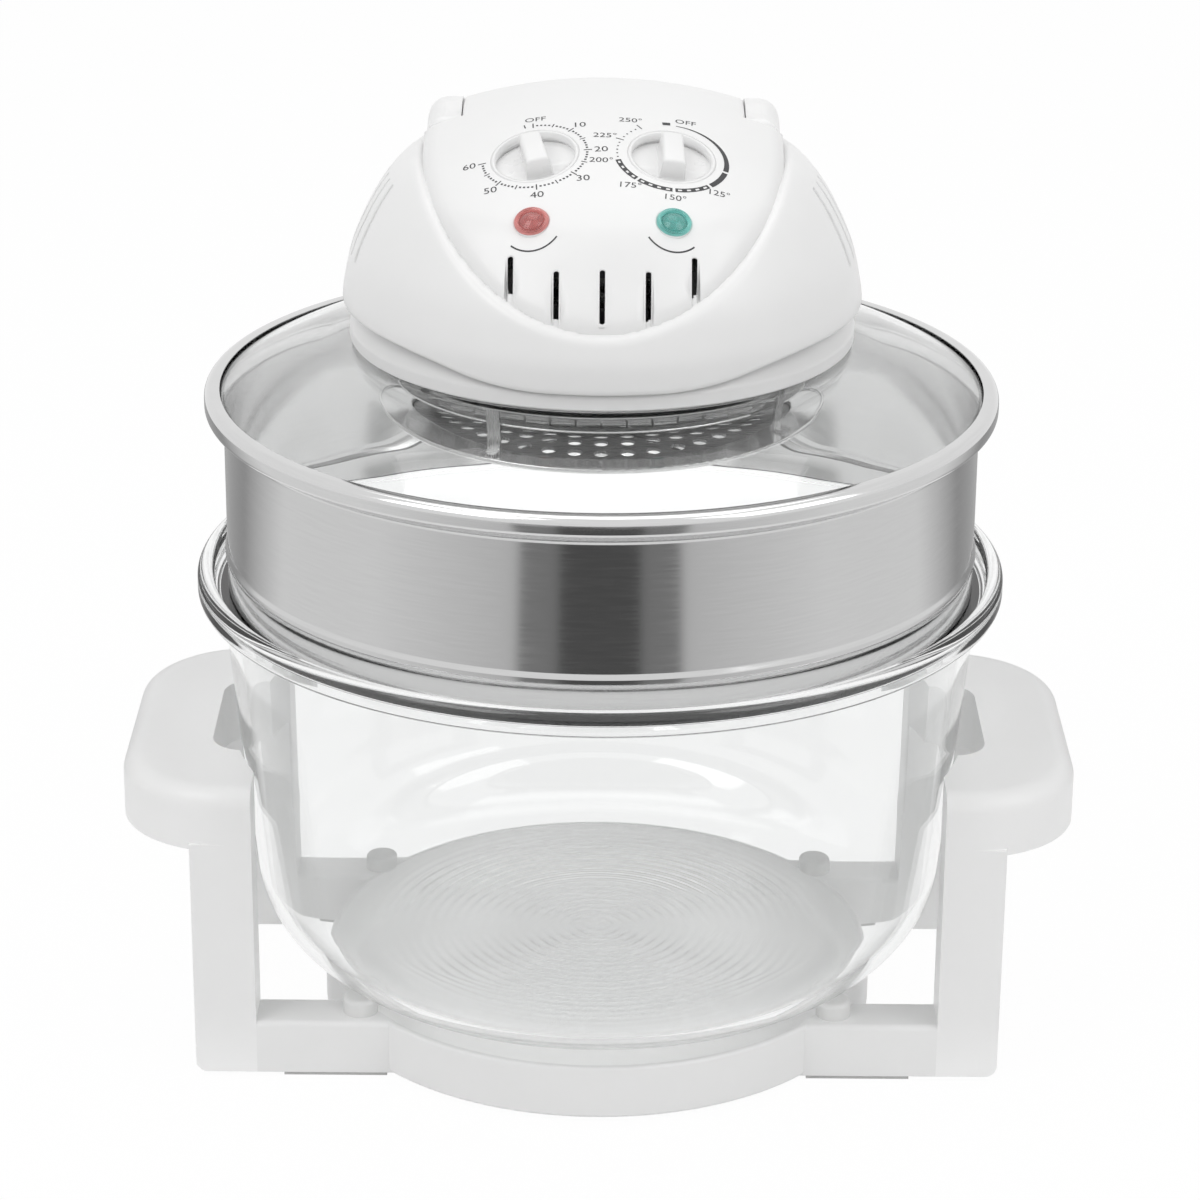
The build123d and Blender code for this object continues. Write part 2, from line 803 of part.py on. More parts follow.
def make_straps():
    straps = []
    foot = 7.0
    for angle in strap_angles:
        half = strap_width / 2
        low = guard_level + guard_ring_step + sheet
        high = pan_level - sheet
        web = block((strap_radius - sheet, strap_radius), (-half, half), (low, high))
        lower = block((strap_radius - sheet, strap_radius + foot - 2), (-half, half), (low, low + sheet))
        upper = block((strap_radius - sheet, strap_radius + foot - 2), (-half, half), (high - sheet, high))
        straps.append(Rot(0, 0, angle) * (web + lower + upper))
    return straps


def make_guard():
    holes = [Pos(0, 0) * Circle(guard_hole)]
    radius = guard_row
    while radius > guard_row_pitch:
        count = round(2 * math.pi * radius / guard_hole_pitch)
        for i in range(count):
            x, y = at(-90 + i * 360 / count, radius)
            holes.append(Pos(x, y) * Circle(guard_hole))
        radius -= guard_row_pitch
    plate = Sketch() + Circle(guard_radius) - holes
    return Pos(0, 0, guard_level) * extrude(plate, sheet)


def make_guard_ring():
    """Pressed ring: a seat for the guard plate, a short wall, a flange and a low lip."""
    inner = guard_radius - 2.0
    base = guard_level - sheet
    wall = guard_radius + slip
    flange = guard_level + guard_ring_step
    lip = flange + sheet + 1.0
    points = [
        (inner, base),
        (wall + sheet, base),
        (wall + sheet, flange),
        (guard_ring_radius, flange),
        (guard_ring_radius, lip),
        (guard_ring_radius - sheet, lip),
        (guard_ring_radius - sheet, flange + sheet),
        (wall, flange + sheet),
        (wall, guard_level),
        (inner, guard_level),
    ]
    return turned(points, [0, 1.2, 0.5, 1.2, 0.3, 0, 0.6, 0.8, 0, 0])


def make_mesh():
    """Wire screen under the fan: rim wire, cross wires as thin strips on one level."""
    pitch = 10.0
    wire = 0.9
    plate = Circle(mesh_radius)
    openings = []
    steps = int(mesh_radius // pitch) + 1
    for i in range(-steps, steps):
        for j in range(-steps, steps):
            x, y = (i + 0.5) * pitch, (j + 0.5) * pitch
            if math.hypot(abs(x) + pitch / 2, abs(y) + pitch / 2) < mesh_radius - 1:
                openings.append(Pos(x, y) * Rectangle(pitch - wire, pitch - wire))
    net = Pos(0, 0, mesh_level) * extrude(plate - openings, wire)
    rim = Pos(0, 0, mesh_level + wire / 2) * Torus(mesh_radius, mesh_rim)
    return net + rim


tube_level = mesh_level + 5.0 + tube_radius


def make_tube():
    start = 90 + tube_gap_angle / 2
    sweep_angle = 360 - tube_gap_angle
    path = CenterArc((0, 0, tube_level), tube_ring_radius, start, sweep_angle)
    section = Plane(origin=path @ 0, z_dir=path % 0) * Circle(tube_radius)
    return sweep(section, path)


def make_tube_caps():
    caps = []
    for side in (-1, 1):
        angle = 90 + side * tube_gap_angle / 2
        x, y = at(angle, tube_ring_radius)
        high = pan_ceiling
        cap = block((-6, 6), (-9, 0), (tube_level - tube_radius - 1, high))
        place = Pos(x, y, 0) * Rot(0, 0, angle + (0 if side > 0 else 180))
        caps.append(place * cap)
    return caps


def make_tube_clips():
    clips = []
    for angle in (180, 270, 360):
        plate = block((-0.6, 0.6), (-7, 7), (tube_level - tube_radius - 1.5, pan_ceiling))
        hole = Pos(0, 0, tube_level) * Rot(0, 90, 0) * Cylinder(tube_radius + 0.15, 4)
        x, y = at(angle, tube_ring_radius)
        clips.append(Pos(x, y, 0) * Rot(0, 0, angle + 90) * (plate - hole))
    return clips


# Motor, fans and their carriers
def make_stator():
    low, high = motor_level, motor_level + stator_height
    stack = block((-stator_length / 2, stator_length / 2), (-stator_width / 2, stator_width / 2), (low, high))
    stack = fillet(stack.edges().filter_by(Axis.Z), 3.0)
    stack -= disc(rotor_radius + rotor_gap, low - 1, high + 1)
    stack -= block((-13, 13), (13.5, 18.5), (low - 1, high + 1)) - block((-5, 5), (0, 30), (low - 2, high + 2))
    for side in (-1, 1):
        stack -= post(side * 24, 0, 1.8, low - 1, high + 1)
    return stack


def make_coil():
    """Winding on the stator's rear limb, above and below the stack."""
    low, high = motor_level, motor_level + stator_height
    half_x, rear = 12.0, stator_width / 2
    core = block((-half_x - 1, half_x + 1), (18.3, rear + 0.2), (low - 0.2, high + 0.2))
    winding = block((-half_x, half_x), (14.2, rear + 5), (low - 5, high + 5))
    winding = fillet(winding.edges().filter_by(Axis.X), 3.0)
    legs = block((-4.0 - 1.2, 4.0 + 1.2), (13.4, 18.7), (low - 0.2, high + 0.2))
    return winding - core - legs


def strap_plate(half, low, high):
    plate = block((-half, half), (-8, 8), (low, high))
    return fillet(plate.edges().filter_by(Axis.Z), 4.0)


def make_lower_bracket():
    low, high = motor_level - 1.5, motor_level
    plate = strap_plate(column_x + 8, low, high) + disc(bush_radius + 2.5, low - 5, high)
    plate -= disc(bush_radius, low - 6, high + 1)
    for side in (-1, 1):
        plate -= post(side * column_x, 0, 1.8, low - 1, high + 1)
        plate -= post(side * 24, 0, 1.8, low - 1, high + 1)
    return plate


def make_upper_bracket():
    low = motor_level + stator_height
    plate = strap_plate(stator_length / 2, low, low + 1.5) + disc(bush_radius + 2.5, low, low + 6.0)
    plate -= disc(bush_radius, low - 1, low + 7)
    for side in (-1, 1):
        plate -= post(side * 24, 0, 1.8, low - 1, low + 3)
    return plate


def make_bush(low, high):
    return disc(bush_radius, low, high) - disc(shaft_radius + running, low - 1, high + 1)


def make_motor_bolts():
    bolts = []
    top = motor_level + stator_height + 1.5
    low = motor_level - 1.5
    for side in (-1, 1):
        x = side * 24
        shank = post(x, 0, 1.6, low - 3.5, top)
        head = post(x, 0, 3.0, top, top + 2.2)
        nut = post(x, 0, 3.0, low - 2.4, low)
        bolts.append(shank + head + nut)
    return bolts


def make_bracket_screws():
    screws = []
    for side in (-1, 1):
        x = side * column_x
        shank = post(x, 0, 1.35, motor_level - 12, motor_level)
        screws.append(shank + post(x, 0, 3.0, motor_level, motor_level + 2.0))
    return screws


def fan(radius, hub_radius_, low, high, tip_low, lean):
    """Flat hub with upright blades on a thin back plate."""
    rotor = disc(hub_radius_, low, high) + disc(radius, high - sheet, high)
    for i in range(blade_count):
        blade = block((hub_radius_ - 1, radius - 0.5), (-0.5, 0.5), (tip_low, high - sheet / 2))
        rotor += Rot(0, 0, i * 360 / blade_count) * Pos(0, lean, 0) * blade
    return rotor - disc(shaft_radius, low - 1, high + 1)


fan_low = shaft_bottom + 3.7
fan_high = pan_ceiling - 1.7


# Switch, thermal cutout, terminals, wires, gland
def make_microswitch():
    x = (plunger_x - 4, plunger_x + 4)
    body = block(x, (plunger_y - 11, plunger_y + 11), (switch_top - 11, switch_top))
    return body - post(plunger_x, plunger_y, plunger_radius + running, switch_top - 7, switch_top + 1)


def make_plunger():
    arm_underside = handle_pivot_z - arm_end_radius
    return post(plunger_x, plunger_y, plunger_radius, switch_top - 3, arm_underside - slip)


def make_gland():
    y_in, y_out = dome_radius - 9.5, dome_radius + 8.0
    face = dome_radius + 0.2

    def along(radius, low, high):
        return Pos(0, (low + high) / 2, gland_level) * Rot(90, 0, 0) * Cylinder(radius, high - low)

    body = along(gland_bore + 3.0, y_in, y_out) + along(gland_bore + 5.0, face, face + 2.4)
    body += along(gland_bore + 4.6, y_in, y_in + 1.8)
    return body - along(gland_bore, y_in - 1, y_out + 1)


wire_radius = 1.1
terminal_x = (18.0, 46.0)
terminal_y = (58.0, 74.0)
terminal_top = inner_floor + 13.0


def wire(points, bend):
    path = FilletPolyline(*points, radius=bend)
    section = Plane(origin=path @ 0, z_dir=path % 0) * Circle(wire_radius)
    return sweep(section, path)


def lead_end(plane, x, length):
    """Last straight run of a lead into the rear face of a control."""
    return [(plane * Pos(x, length / 2 + run, -20)).position for run in (10, 0)]


def make_wires():
    """Three leads that run from the terminal block to the coil, the timer and the thermostat."""
    rear = terminal_y[0]
    side = terminal_x[1]
    coil_x = 8.0
    coil_face = stator_width / 2 + 5
    low = inner_floor + 7.0
    timer_end = lead_end(timer_plane, 0.0, timer_length)
    thermostat_end = lead_end(thermostat_plane, 6.0, thermostat_length)
    to_coil = wire([(22, rear, low), (22, 44, low), (coil_x, 44, 336), (coil_x, coil_face, 336)], 5.0)
    to_timer = wire([(40, rear, low), (40, 46, low), (34, 36, 352), (-8, 24, 368)] + timer_end, 4.0)
    to_thermostat = wire([(side, 62, low), (53, 62, low), (54, 36, 348), (44, 10, 370)] + thermostat_end, 4.0)
    return [to_coil, to_thermostat, to_timer]


# Dial controls
timer_length = 44.0
thermostat_length = 40.0
control_screw_offset = 13.0
control_screw = 1.3
control_screw_head = 2.4


def control_body(plane, width, length, depth):
    """Box behind a dial well, bored for its spindle and its two screws."""
    top = -(well_depth + 2.0)
    box = Pos(0, 0, top - depth / 2) * Box(width, length, depth)
    body = plane * fillet(box.edges().filter_by(Axis.Z), 1.5)
    body -= bored(plane, spindle_radius + running, top - depth + 6, top + 1)
    for side in (-1, 1):
        body -= plane * Pos(side * control_screw_offset, 0, top - 3.5) * Cylinder(control_screw, 7.5)
    return body


def make_control_screws(plane):
    top = -well_depth - 0.1
    screws = []
    for side in (-1, 1):
        place = plane * Pos(side * control_screw_offset, 0, 0)
        head = place * Pos(0, 0, top - 0.5) * Cylinder(control_screw_head, 1.0)
        screws.append(head + place * Pos(0, 0, top - 4.4) * Cylinder(control_screw, 6.8))
    return screws


def make_spindle(plane):
    low = -(well_depth + 2.0) - 10.0
    return bored(plane, spindle_radius, low, -well_depth + 6.0)


def make_knob(plane, turned_by):
    """Skirt that falls away towards its front, with a raised bar grip, on the spindle."""
    base = -well_depth + 0.6
    crease = -2.8
    level = base + knob_skirt
    reach = knob_radius + 1
    skirt = Pos(0, 0, base + knob_skirt / 2) * Cylinder(knob_radius, knob_skirt)
    fall = [
        (0, crease, level),
        (0, crease - knob_front_fall / 0.4, level - knob_front_fall),
        (0, -reach, level - knob_front_fall),
        (0, -reach, level + 1),
        (0, crease, level + 1),
    ]
    skirt -= extrude(make_face(Polyline(*fall, close=True)), reach, dir=(1, 0, 0), both=True)
    rear_edges = [e for e in skirt.edges().group_by(Axis.Z)[-1] if e.geom_type == GeomType.CIRCLE]
    skirt = fillet(rear_edges, 0.6)
    grip = Pos(0, 0, base + knob_rise / 2 + 0.5) * Box(knob_grip, knob_grip_length, knob_rise - 1)
    grip = fillet(grip.edges().filter_by(Axis.Z), 1.5)
    grip = fillet(grip.edges().group_by(Axis.Z)[-1], 1.2)
    knob = skirt + grip - Pos(0, 0, base + 2.7) * Cylinder(spindle_radius, 5.4)
    return plane * Rot(0, 0, turned_by) * knob


def make_lens(plane):
    body = bored(plane, lamp_radius, -5.0, 0.6)
    dome = plane * Pos(0, 0, 0.6 - 9.0) * Sphere(11.4)
    cap = bored(plane, lamp_radius, 0.6, 4.0) & dome
    rim = bored(plane, lamp_radius + 1.6, -5.0, -3.6)
    hollow = bored(plane, lamp_radius - 1.5, -6.0, -1.2)
    return body + cap + rim - hollow


def make_lamp_holder(plane):
    return bored(plane, 4.0, -24.0, -5.0) + bored(plane, lamp_radius, -7.0, -5.0) + bored(plane, 2.6, -5.0, -2.2)


# Carry handle
def make_handle():
    """Folded carry handle: two flat arms beside the panel and the bar behind the head."""
    low = handle_pivot_z - arm_end_radius
    high = handle_pivot_z + arm_end_radius
    front = handle_pivot_y - arm_end_radius
    crest = [
        (14.5, high + 0.2),
        (23, high + 2.7),
        (34, high + 1.9),
        (62, high - 7),
        (86, high - 20),
        (grip_bar_front, grip_bar_top),
    ]
    crest_radii = [8, 12, 30, 40, 20, 6]
    profile = [
        (front, low),
        (front, high),
        *crest,
        (grip_bar_back, grip_bar_top - 1.5),
        (grip_bar_back, grip_bar_bottom),
        (grip_bar_front, grip_bar_bottom),
        (grip_bar_front - 2, grip_bar_bottom + 7),
        (86, high - 26.5),
        (64, low - 7.2),
        (44, low),
    ]
    end = arm_end_radius - 0.01
    radii = [end, end, *crest_radii, 4, 4, 4, 3, 20, 20, 20]
    path = FilletPolyline(*[(0, y, z) for y, z in profile], radius=radii, close=True)
    face = make_face(path.edges())
    arm_inner = arm_pocket + 0.5
    arm = extrude(Pos(arm_inner, 0, 0) * face, arm_width, dir=(1, 0, 0))
    pin_hole = Pos(arm_inner, handle_pivot_y, handle_pivot_z) * Rot(0, 90, 0)
    arm -= pin_hole * Cylinder(handle_pin_radius + running, 2 * (pin_depth + slip))
    reach = arm_inner + arm_width
    bar = block((-reach, reach), (grip_bar_front, grip_bar_back), (grip_bar_bottom, grip_bar_top - 1.5))
    bar = fillet(bar.edges().filter_by(Axis.X), 4.0)
    run_out = (grip_bar_back + 6, grip_bar_top - 1.5 - 6 * 1.5 / (grip_bar_back - grip_bar_front))
    ridge = [(front - 6, high), *crest, run_out]
    ridge_line = FilletPolyline(*[(0, y, z) for y, z in ridge], radius=crest_radii)
    side = arm_rounding + 1
    corner = Pos(reach + 1 - side / 2, side / 2 - 1) * Rectangle(side, side)
    corner -= Pos(reach - arm_rounding + 0.05, arm_rounding - 0.05) * Circle(arm_rounding)
    start = Plane(origin=ridge_line @ 0, x_dir=(1, 0, 0), z_dir=ridge_line % 0)
    rounding = sweep(start * corner, path=ridge_line)
    arm -= rounding
    bar -= rounding
    bar -= mirrored_x(rounding)
    return bar + arm + mirrored_x(arm)


pin_depth = 8.0


def make_pins():
    """Plain pins pressed through the panel's sides into blind holes in the arms."""
    inner = arm_pocket - seam - shell_wall - 1.0
    outer = arm_pocket + 0.5 + pin_depth
    line = Pos(0, handle_pivot_y, handle_pivot_z) * Rot(0, 90, 0)
    return [line * Pos(0, 0, side * (inner + outer) / 2) * Cylinder(handle_pin_radius, outer - inner)
            for side in (-1, 1)]


save("stand_base", make_stand_base())
right_handle = make_side_handle()
save("right_side_handle", right_handle)
save("left_side_handle", mirrored_x(right_handle))
save("stand_feet", joined(make_feet()))
save("bowl_support_studs", joined(make_studs()))
save("stand_screws", joined(make_stand_screws()))
save("glass_bowl", make_bowl())
save("extender_ring", make_ring())
save("lid_glass", make_lid_glass())
save("lid_rim", make_lid_rim())
save_head("upper_hub_gasket", make_gasket(hub_top))
save_head("lower_hub_gasket", make_gasket(pan_level))
save_head("lower_housing", make_housing())
save_head("top_cover", make_cover())
save_head("control_panel", make_panel())
save_head("cover_screws", joined(make_cover_screws()))
save_head("reflector_pan", make_pan())
save_head("insulation_disc", make_insulation())
save_head("pan_screws", joined(make_pan_screws()))
save_head("guard_brackets", joined(make_straps()))
save_head("guard_ring", make_guard_ring())
save_head("heater_guard", make_guard())
save_head("mesh_screen", make_mesh())
save_head("halogen_tube", make_tube())
save_head("tube_end_caps", joined(make_tube_caps()))
save_head("tube_clips", joined(make_tube_clips()))
save_head("timer_body", control_body(timer_plane, 37.0, timer_length, 22.0))
save_head("thermostat_body", control_body(thermostat_plane, 34.0, thermostat_length, 18.0))
save_head("control_screws", joined(make_control_screws(timer_plane) + make_control_screws(thermostat_plane)))
save_head("timer_spindle", make_spindle(timer_plane))
save_head("thermostat_spindle", make_spindle(thermostat_plane))
save_head("timer_knob", make_knob(timer_plane, timer_turned))
save_head("thermostat_knob", make_knob(thermostat_plane, thermostat_turned))
save_head("power_lamp_lens", make_lens(power_plane))
save_head("heat_lamp_lens", make_lens(heat_plane))
save_head("lamp_holders", joined([make_lamp_holder(power_plane), make_lamp_holder(heat_plane)]))
save_head("motor_stator", make_stator())
save_head("motor_coil", make_coil())
save_head("lower_motor_bracket", make_lower_bracket())
save_head("upper_motor_bracket", make_upper_bracket())
save_head("lower_shaft_bush", make_bush(motor_level - 6.5, motor_level))
save_head("upper_shaft_bush", make_bush(motor_level + stator_height, motor_level + stator_height + 6.0))
save_head("motor_bolts", joined(make_motor_bolts()))
save_head("bracket_screws", joined(make_bracket_screws()))
save_head("motor_shaft", disc(shaft_radius, shaft_bottom, shaft_top))
rotor_core = disc(rotor_radius, motor_level + 1, motor_level + stator_height - 1)
save_head("rotor_core", rotor_core - disc(shaft_radius, 0, 400))
save_head("cooling_fan", fan(cooling_fan_radius, 7.0, inner_floor + 1.5, inner_floor + 10, inner_floor + 2, 2.0))
save_head("convection_fan", fan(convection_fan_radius, 8.0, fan_low, fan_high, fan_low + 0.5, 3.0))
save_head("fan_nut", disc(5.0, fan_low - 3.2, fan_low) - disc(shaft_radius, 0, 400))
save_head("microswitch", make_microswitch())
save_head("switch_plunger", make_plunger())
save_head("thermal_cutout", post(-40, 40, 8.0, inner_floor, inner_floor + 7))
terminal = block(terminal_x, terminal_y, (inner_floor, terminal_top))
save_head("terminal_block", chamfer(terminal.edges().group_by(Axis.Z)[-1], 1.5))
save_head("wiring_harness", joined(make_wires()))
save_head("cord_gland", make_gland())
save_head("carry_handle", make_handle())
save_head("handle_pivot_pins", joined(make_pins()))
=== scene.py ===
import math

import bmesh
import bpy
import numpy as np
from mathutils import Matrix, Vector
from mathutils.geometry import delaunay_2d_cdt


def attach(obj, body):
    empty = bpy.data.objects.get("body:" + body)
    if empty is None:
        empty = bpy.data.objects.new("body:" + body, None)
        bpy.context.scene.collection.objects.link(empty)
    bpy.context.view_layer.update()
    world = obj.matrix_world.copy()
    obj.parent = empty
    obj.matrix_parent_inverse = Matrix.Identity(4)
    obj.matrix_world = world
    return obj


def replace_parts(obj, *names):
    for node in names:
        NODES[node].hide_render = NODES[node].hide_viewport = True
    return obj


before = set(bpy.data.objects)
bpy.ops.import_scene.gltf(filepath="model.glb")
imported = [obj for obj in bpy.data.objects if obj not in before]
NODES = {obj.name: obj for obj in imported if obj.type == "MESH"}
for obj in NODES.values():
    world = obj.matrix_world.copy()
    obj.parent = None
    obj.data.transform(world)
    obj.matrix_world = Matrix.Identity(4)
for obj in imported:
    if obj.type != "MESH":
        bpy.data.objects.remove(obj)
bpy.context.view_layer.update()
MM = 0.001

# The panel's outline is cut along a direction at 45 degrees: its share along Y and along Z
S = math.sqrt(0.5)


# Profiles and meshes, drawn in millimetres
def rounded(points, radii, closed=False, step=12.0):
    """A path with its corners rounded, each by its own radius."""
    out = []
    count = len(points)
    for i, here in enumerate(points):
        r = radii[i] if i < len(radii) else 0
        if r <= 0 or (not closed and i in (0, count - 1)):
            out.append(tuple(here))
            continue
        p = Vector(here)
        a = (Vector(points[i - 1]) - p).normalized()
        b = (Vector(points[(i + 1) % count]) - p).normalized()
        half = a.angle(b) / 2
        if half > 1.55:
            out.append(tuple(here))
            continue
        centre = p + (a + b).normalized() * (r / math.sin(half))
        start = p + a * (r / math.tan(half)) - centre
        end = p + b * (r / math.tan(half)) - centre
        turn = math.pi - 2 * half
        side = 1 if start.x * end.y - start.y * end.x > 0 else -1
        steps = max(2, int(math.degrees(turn) / step) + 1)
        for k in range(steps + 1):
            t = side * turn * k / steps
            c, s = math.cos(t), math.sin(t)
            out.append((centre.x + start.x * c - start.y * s, centre.y + start.x * s + start.y * c))
    return out


def spline(points, count, start=None, end=None):
    """Smooth curve through points, with optional end directions."""
    p = np.array(points, float)
    chord = np.hypot(*np.diff(p, axis=0).T)
    t = np.concatenate([[0], np.cumsum(chord)])
    n = len(p)
    a = np.zeros((n, n))
    b = np.zeros((n, 2))
    for i in range(1, n - 1):
        h0, h1 = chord[i - 1], chord[i]
        a[i, i - 1 : i + 2] = [h1, 2 * (h0 + h1), h0]
        b[i] = 3 * (h1 * (p[i] - p[i - 1]) / h0 + h0 * (p[i + 1] - p[i]) / h1)
    if start is None:
        a[0, :2] = [2, 1]
        b[0] = 3 * (p[1] - p[0]) / chord[0]
    else:
        a[0, 0] = 1
        b[0] = np.array(start, float)
    if end is None:
        a[-1, -2:] = [1, 2]
        b[-1] = 3 * (p[-1] - p[-2]) / chord[-1]
    else:
        a[-1, -1] = 1
        b[-1] = np.array(end, float)
    m = np.linalg.solve(a, b)
    at = np.linspace(0, t[-1], count)
    i = np.clip(np.searchsorted(t, at, side="right") - 1, 0, n - 2)
    h = chord[i][:, None]
    u = ((at - t[i]) / chord[i])[:, None]
    return (
        (2 * u**3 - 3 * u**2 + 1) * p[i]
        + (u**3 - 2 * u**2 + u) * h * m[i]
        + (-2 * u**3 + 3 * u**2) * p[i + 1]
        + (u**3 - u**2) * h * m[i + 1]
    )


def add_object(name, data):
    obj = bpy.data.objects.new(name, data)
    bpy.context.scene.collection.objects.link(obj)
    return obj


def finish_piece(name, mesh, body, made, sharp):
    """An object for a finished mesh: shading, material and body."""
    mesh.shade_smooth()
    if sharp:
        mesh.set_sharp_from_angle(angle=math.radians(sharp))
    mesh.materials.append(made)
    obj = add_object(name, mesh)
    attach(obj, body)
    return obj


def make(name, verts, faces, body, made, sharp=35.0, tidy=True):
    """A mesh piece from points in millimetres, riding on a body."""
    mesh = bpy.data.meshes.new(name)
    mesh.from_pydata([(v[0] * MM, v[1] * MM, v[2] * MM) for v in verts], [], faces)
    if tidy:
        bm = bmesh.new()
        bm.from_mesh(mesh)
        bmesh.ops.remove_doubles(bm, verts=bm.verts, dist=1e-7)
        bmesh.ops.recalc_face_normals(bm, faces=bm.faces)
        bm.to_mesh(mesh)
        bm.free()
    return finish_piece(name, mesh, body, made, sharp)


def lathe_data(profile, segments, closed=True):
    """Points and faces of a profile of (radius, height) turned about Z."""
    verts, faces, rings = [], [], []
    for r, z in profile:
        if r < 1e-6:
            rings.append([len(verts)] * segments)
            verts.append((0, 0, z))
            continue
        ring = []
        for k in range(segments):
            t = 2 * math.pi * k / segments
            ring.append(len(verts))
            verts.append((r * math.cos(t), r * math.sin(t), z))
        rings.append(ring)
    pairs = list(zip(rings, rings[1:]))
    if closed:
        pairs.append((rings[-1], rings[0]))
    for lower, upper in pairs:
        for k in range(segments):
            n = (k + 1) % segments
            face = [lower[k], lower[n], upper[n], upper[k]]
            face = [v for i, v in enumerate(face) if v not in face[:i]]
            if len(face) > 2:
                faces.append(face)
    return verts, faces


def lathe(name, profile, body, made, segments, closed=True, sharp=35.0):
    verts, faces = lathe_data(profile, segments, closed)
    return make(name, verts, faces, body, made, sharp)


def band(path, thickness):
    """Closed profile of a sheet of even thickness that follows a path on its outer side."""
    p = np.array(path, float)
    d = np.gradient(p, axis=0)
    d /= np.hypot(d[:, 0], d[:, 1])[:, None]
    inner = p + thickness * np.stack([-d[:, 1], d[:, 0]], 1)
    return [tuple(q) for q in p] + [tuple(q) for q in inner[::-1]]


def thicken(obj, thickness):
    """Give a skin its wall, on its inner side."""
    modifier = obj.modifiers.new("Solidify", "SOLIDIFY")
    modifier.thickness = thickness * MM
    modifier.offset = -1.0


# Materials
def material(name):
    made = bpy.data.materials.new(name)
    made.use_nodes = True
    tree = made.node_tree
    shader = tree.nodes["Principled BSDF"]
    return made, tree, shader


def link(tree, source, target):
    tree.links.new(source, target)


def node(tree, kind, **values):
    made = tree.nodes.new(kind)
    for key, value in values.items():
        if key in made.inputs:
            made.inputs[key].default_value = value
        else:
            setattr(made, key.lower(), value)
    return made


def object_point(tree):
    return tree.nodes.new("ShaderNodeTexCoord").outputs["Object"]


def noise(tree, scale, detail=3.0, stretch=None):
    texture = node(tree, "ShaderNodeTexNoise", Scale=scale, Detail=detail)
    source = object_point(tree)
    if stretch:
        mapping = tree.nodes.new("ShaderNodeMapping")
        mapping.inputs["Scale"].default_value = stretch
        link(tree, source, mapping.inputs["Vector"])
        source = mapping.outputs["Vector"]
    link(tree, source, texture.inputs["Vector"])
    return texture.outputs["Fac"]


def ranged(tree, value, low, high, from_low=0.3, from_high=0.7):
    made = tree.nodes.new("ShaderNodeMapRange")
    made.inputs["From Min"].default_value = from_low
    made.inputs["From Max"].default_value = from_high
    made.inputs["To Min"].default_value = low
    made.inputs["To Max"].default_value = high
    link(tree, value, made.inputs["Value"])
    return made.outputs["Result"]


def tint(tree, value, low, high, shader):
    """Colour that drifts between two close tones."""
    ramp = tree.nodes.new("ShaderNodeValToRGB")
    ramp.color_ramp.elements[0].position = 0.35
    ramp.color_ramp.elements[1].position = 0.65
    ramp.color_ramp.elements[0].color = (*low, 1)
    ramp.color_ramp.elements[1].color = (*high, 1)
    link(tree, value, ramp.inputs["Fac"])
    link(tree, ramp.outputs["Color"], shader.inputs["Base Color"])


def bump(tree, shader, value, strength, distance=0.0002):
    made = node(tree, "ShaderNodeBump", Strength=strength, Distance=distance)
    link(tree, value, made.inputs["Height"])
    link(tree, made.outputs["Normal"], shader.inputs["Normal"])


def plastic(name, colour, rough, grain):
    """Moulded plastic: faint cloudiness, a fine spark-eroded grain and slight gloss changes."""
    made, tree, shader = material(name)
    low = [c * 0.985 for c in colour]
    tint(tree, noise(tree, 22.0), low, colour, shader)
    link(tree, ranged(tree, noise(tree, 90.0), rough - 0.04, rough + 0.05), shader.inputs["Roughness"])
    bump(tree, shader, noise(tree, 2600.0, 2.0), grain)
    return made


def metal(name, colour, rough, streak, strength, tone=0.95):
    """Rolled or drawn metal with fine streaks along one direction."""
    made, tree, shader = material(name)
    shader.inputs["Metallic"].default_value = 1.0
    lines = noise(tree, 60.0, 4.0, streak)
    tint(tree, lines, [c * tone for c in colour], colour, shader)
    link(tree, ranged(tree, lines, rough * 0.75, rough * 1.3), shader.inputs["Roughness"])
    bump(tree, shader, lines, strength, 0.00005)
    return made


def openness(tree, reach):
    """1 on open surface, less where another surface is within reach."""
    near = node(tree, "ShaderNodeAmbientOcclusion", Distance=reach)
    near.samples = 8
    return near.outputs["AO"]


def colour_mix(made):
    """A mix node whose A is the material's colour so far and whose result takes its place."""
    tree = made.node_tree
    shader = tree.nodes["Principled BSDF"]
    source = shader.inputs["Base Color"].links[0].from_socket
    mix = tree.nodes.new("ShaderNodeMix")
    mix.data_type = "RGBA"
    link(tree, source, mix.inputs["A"])
    link(tree, mix.outputs["Result"], shader.inputs["Base Color"])
    return tree, mix


def darken_creases(made, reach, darkest):
    """Darker colour where a surface faces a close neighbour, in place of fine shade."""
    tree, mix = colour_mix(made)
    mix.blend_type = "MULTIPLY"
    mix.inputs["Factor"].default_value = 1.0
    link(tree, ranged(tree, openness(tree, reach), darkest, 1.0, 0.25, 0.8), mix.inputs["B"])


def lighten_hollows(made, reach, colour):
    """Paler colour in hollows, for the even light on pale plastic."""
    tree, mix = colour_mix(made)
    link(tree, ranged(tree, openness(tree, reach), 1.0, 0.0, 0.25, 0.85), mix.inputs["Factor"])
    mix.inputs["B"].default_value = (*colour, 1)


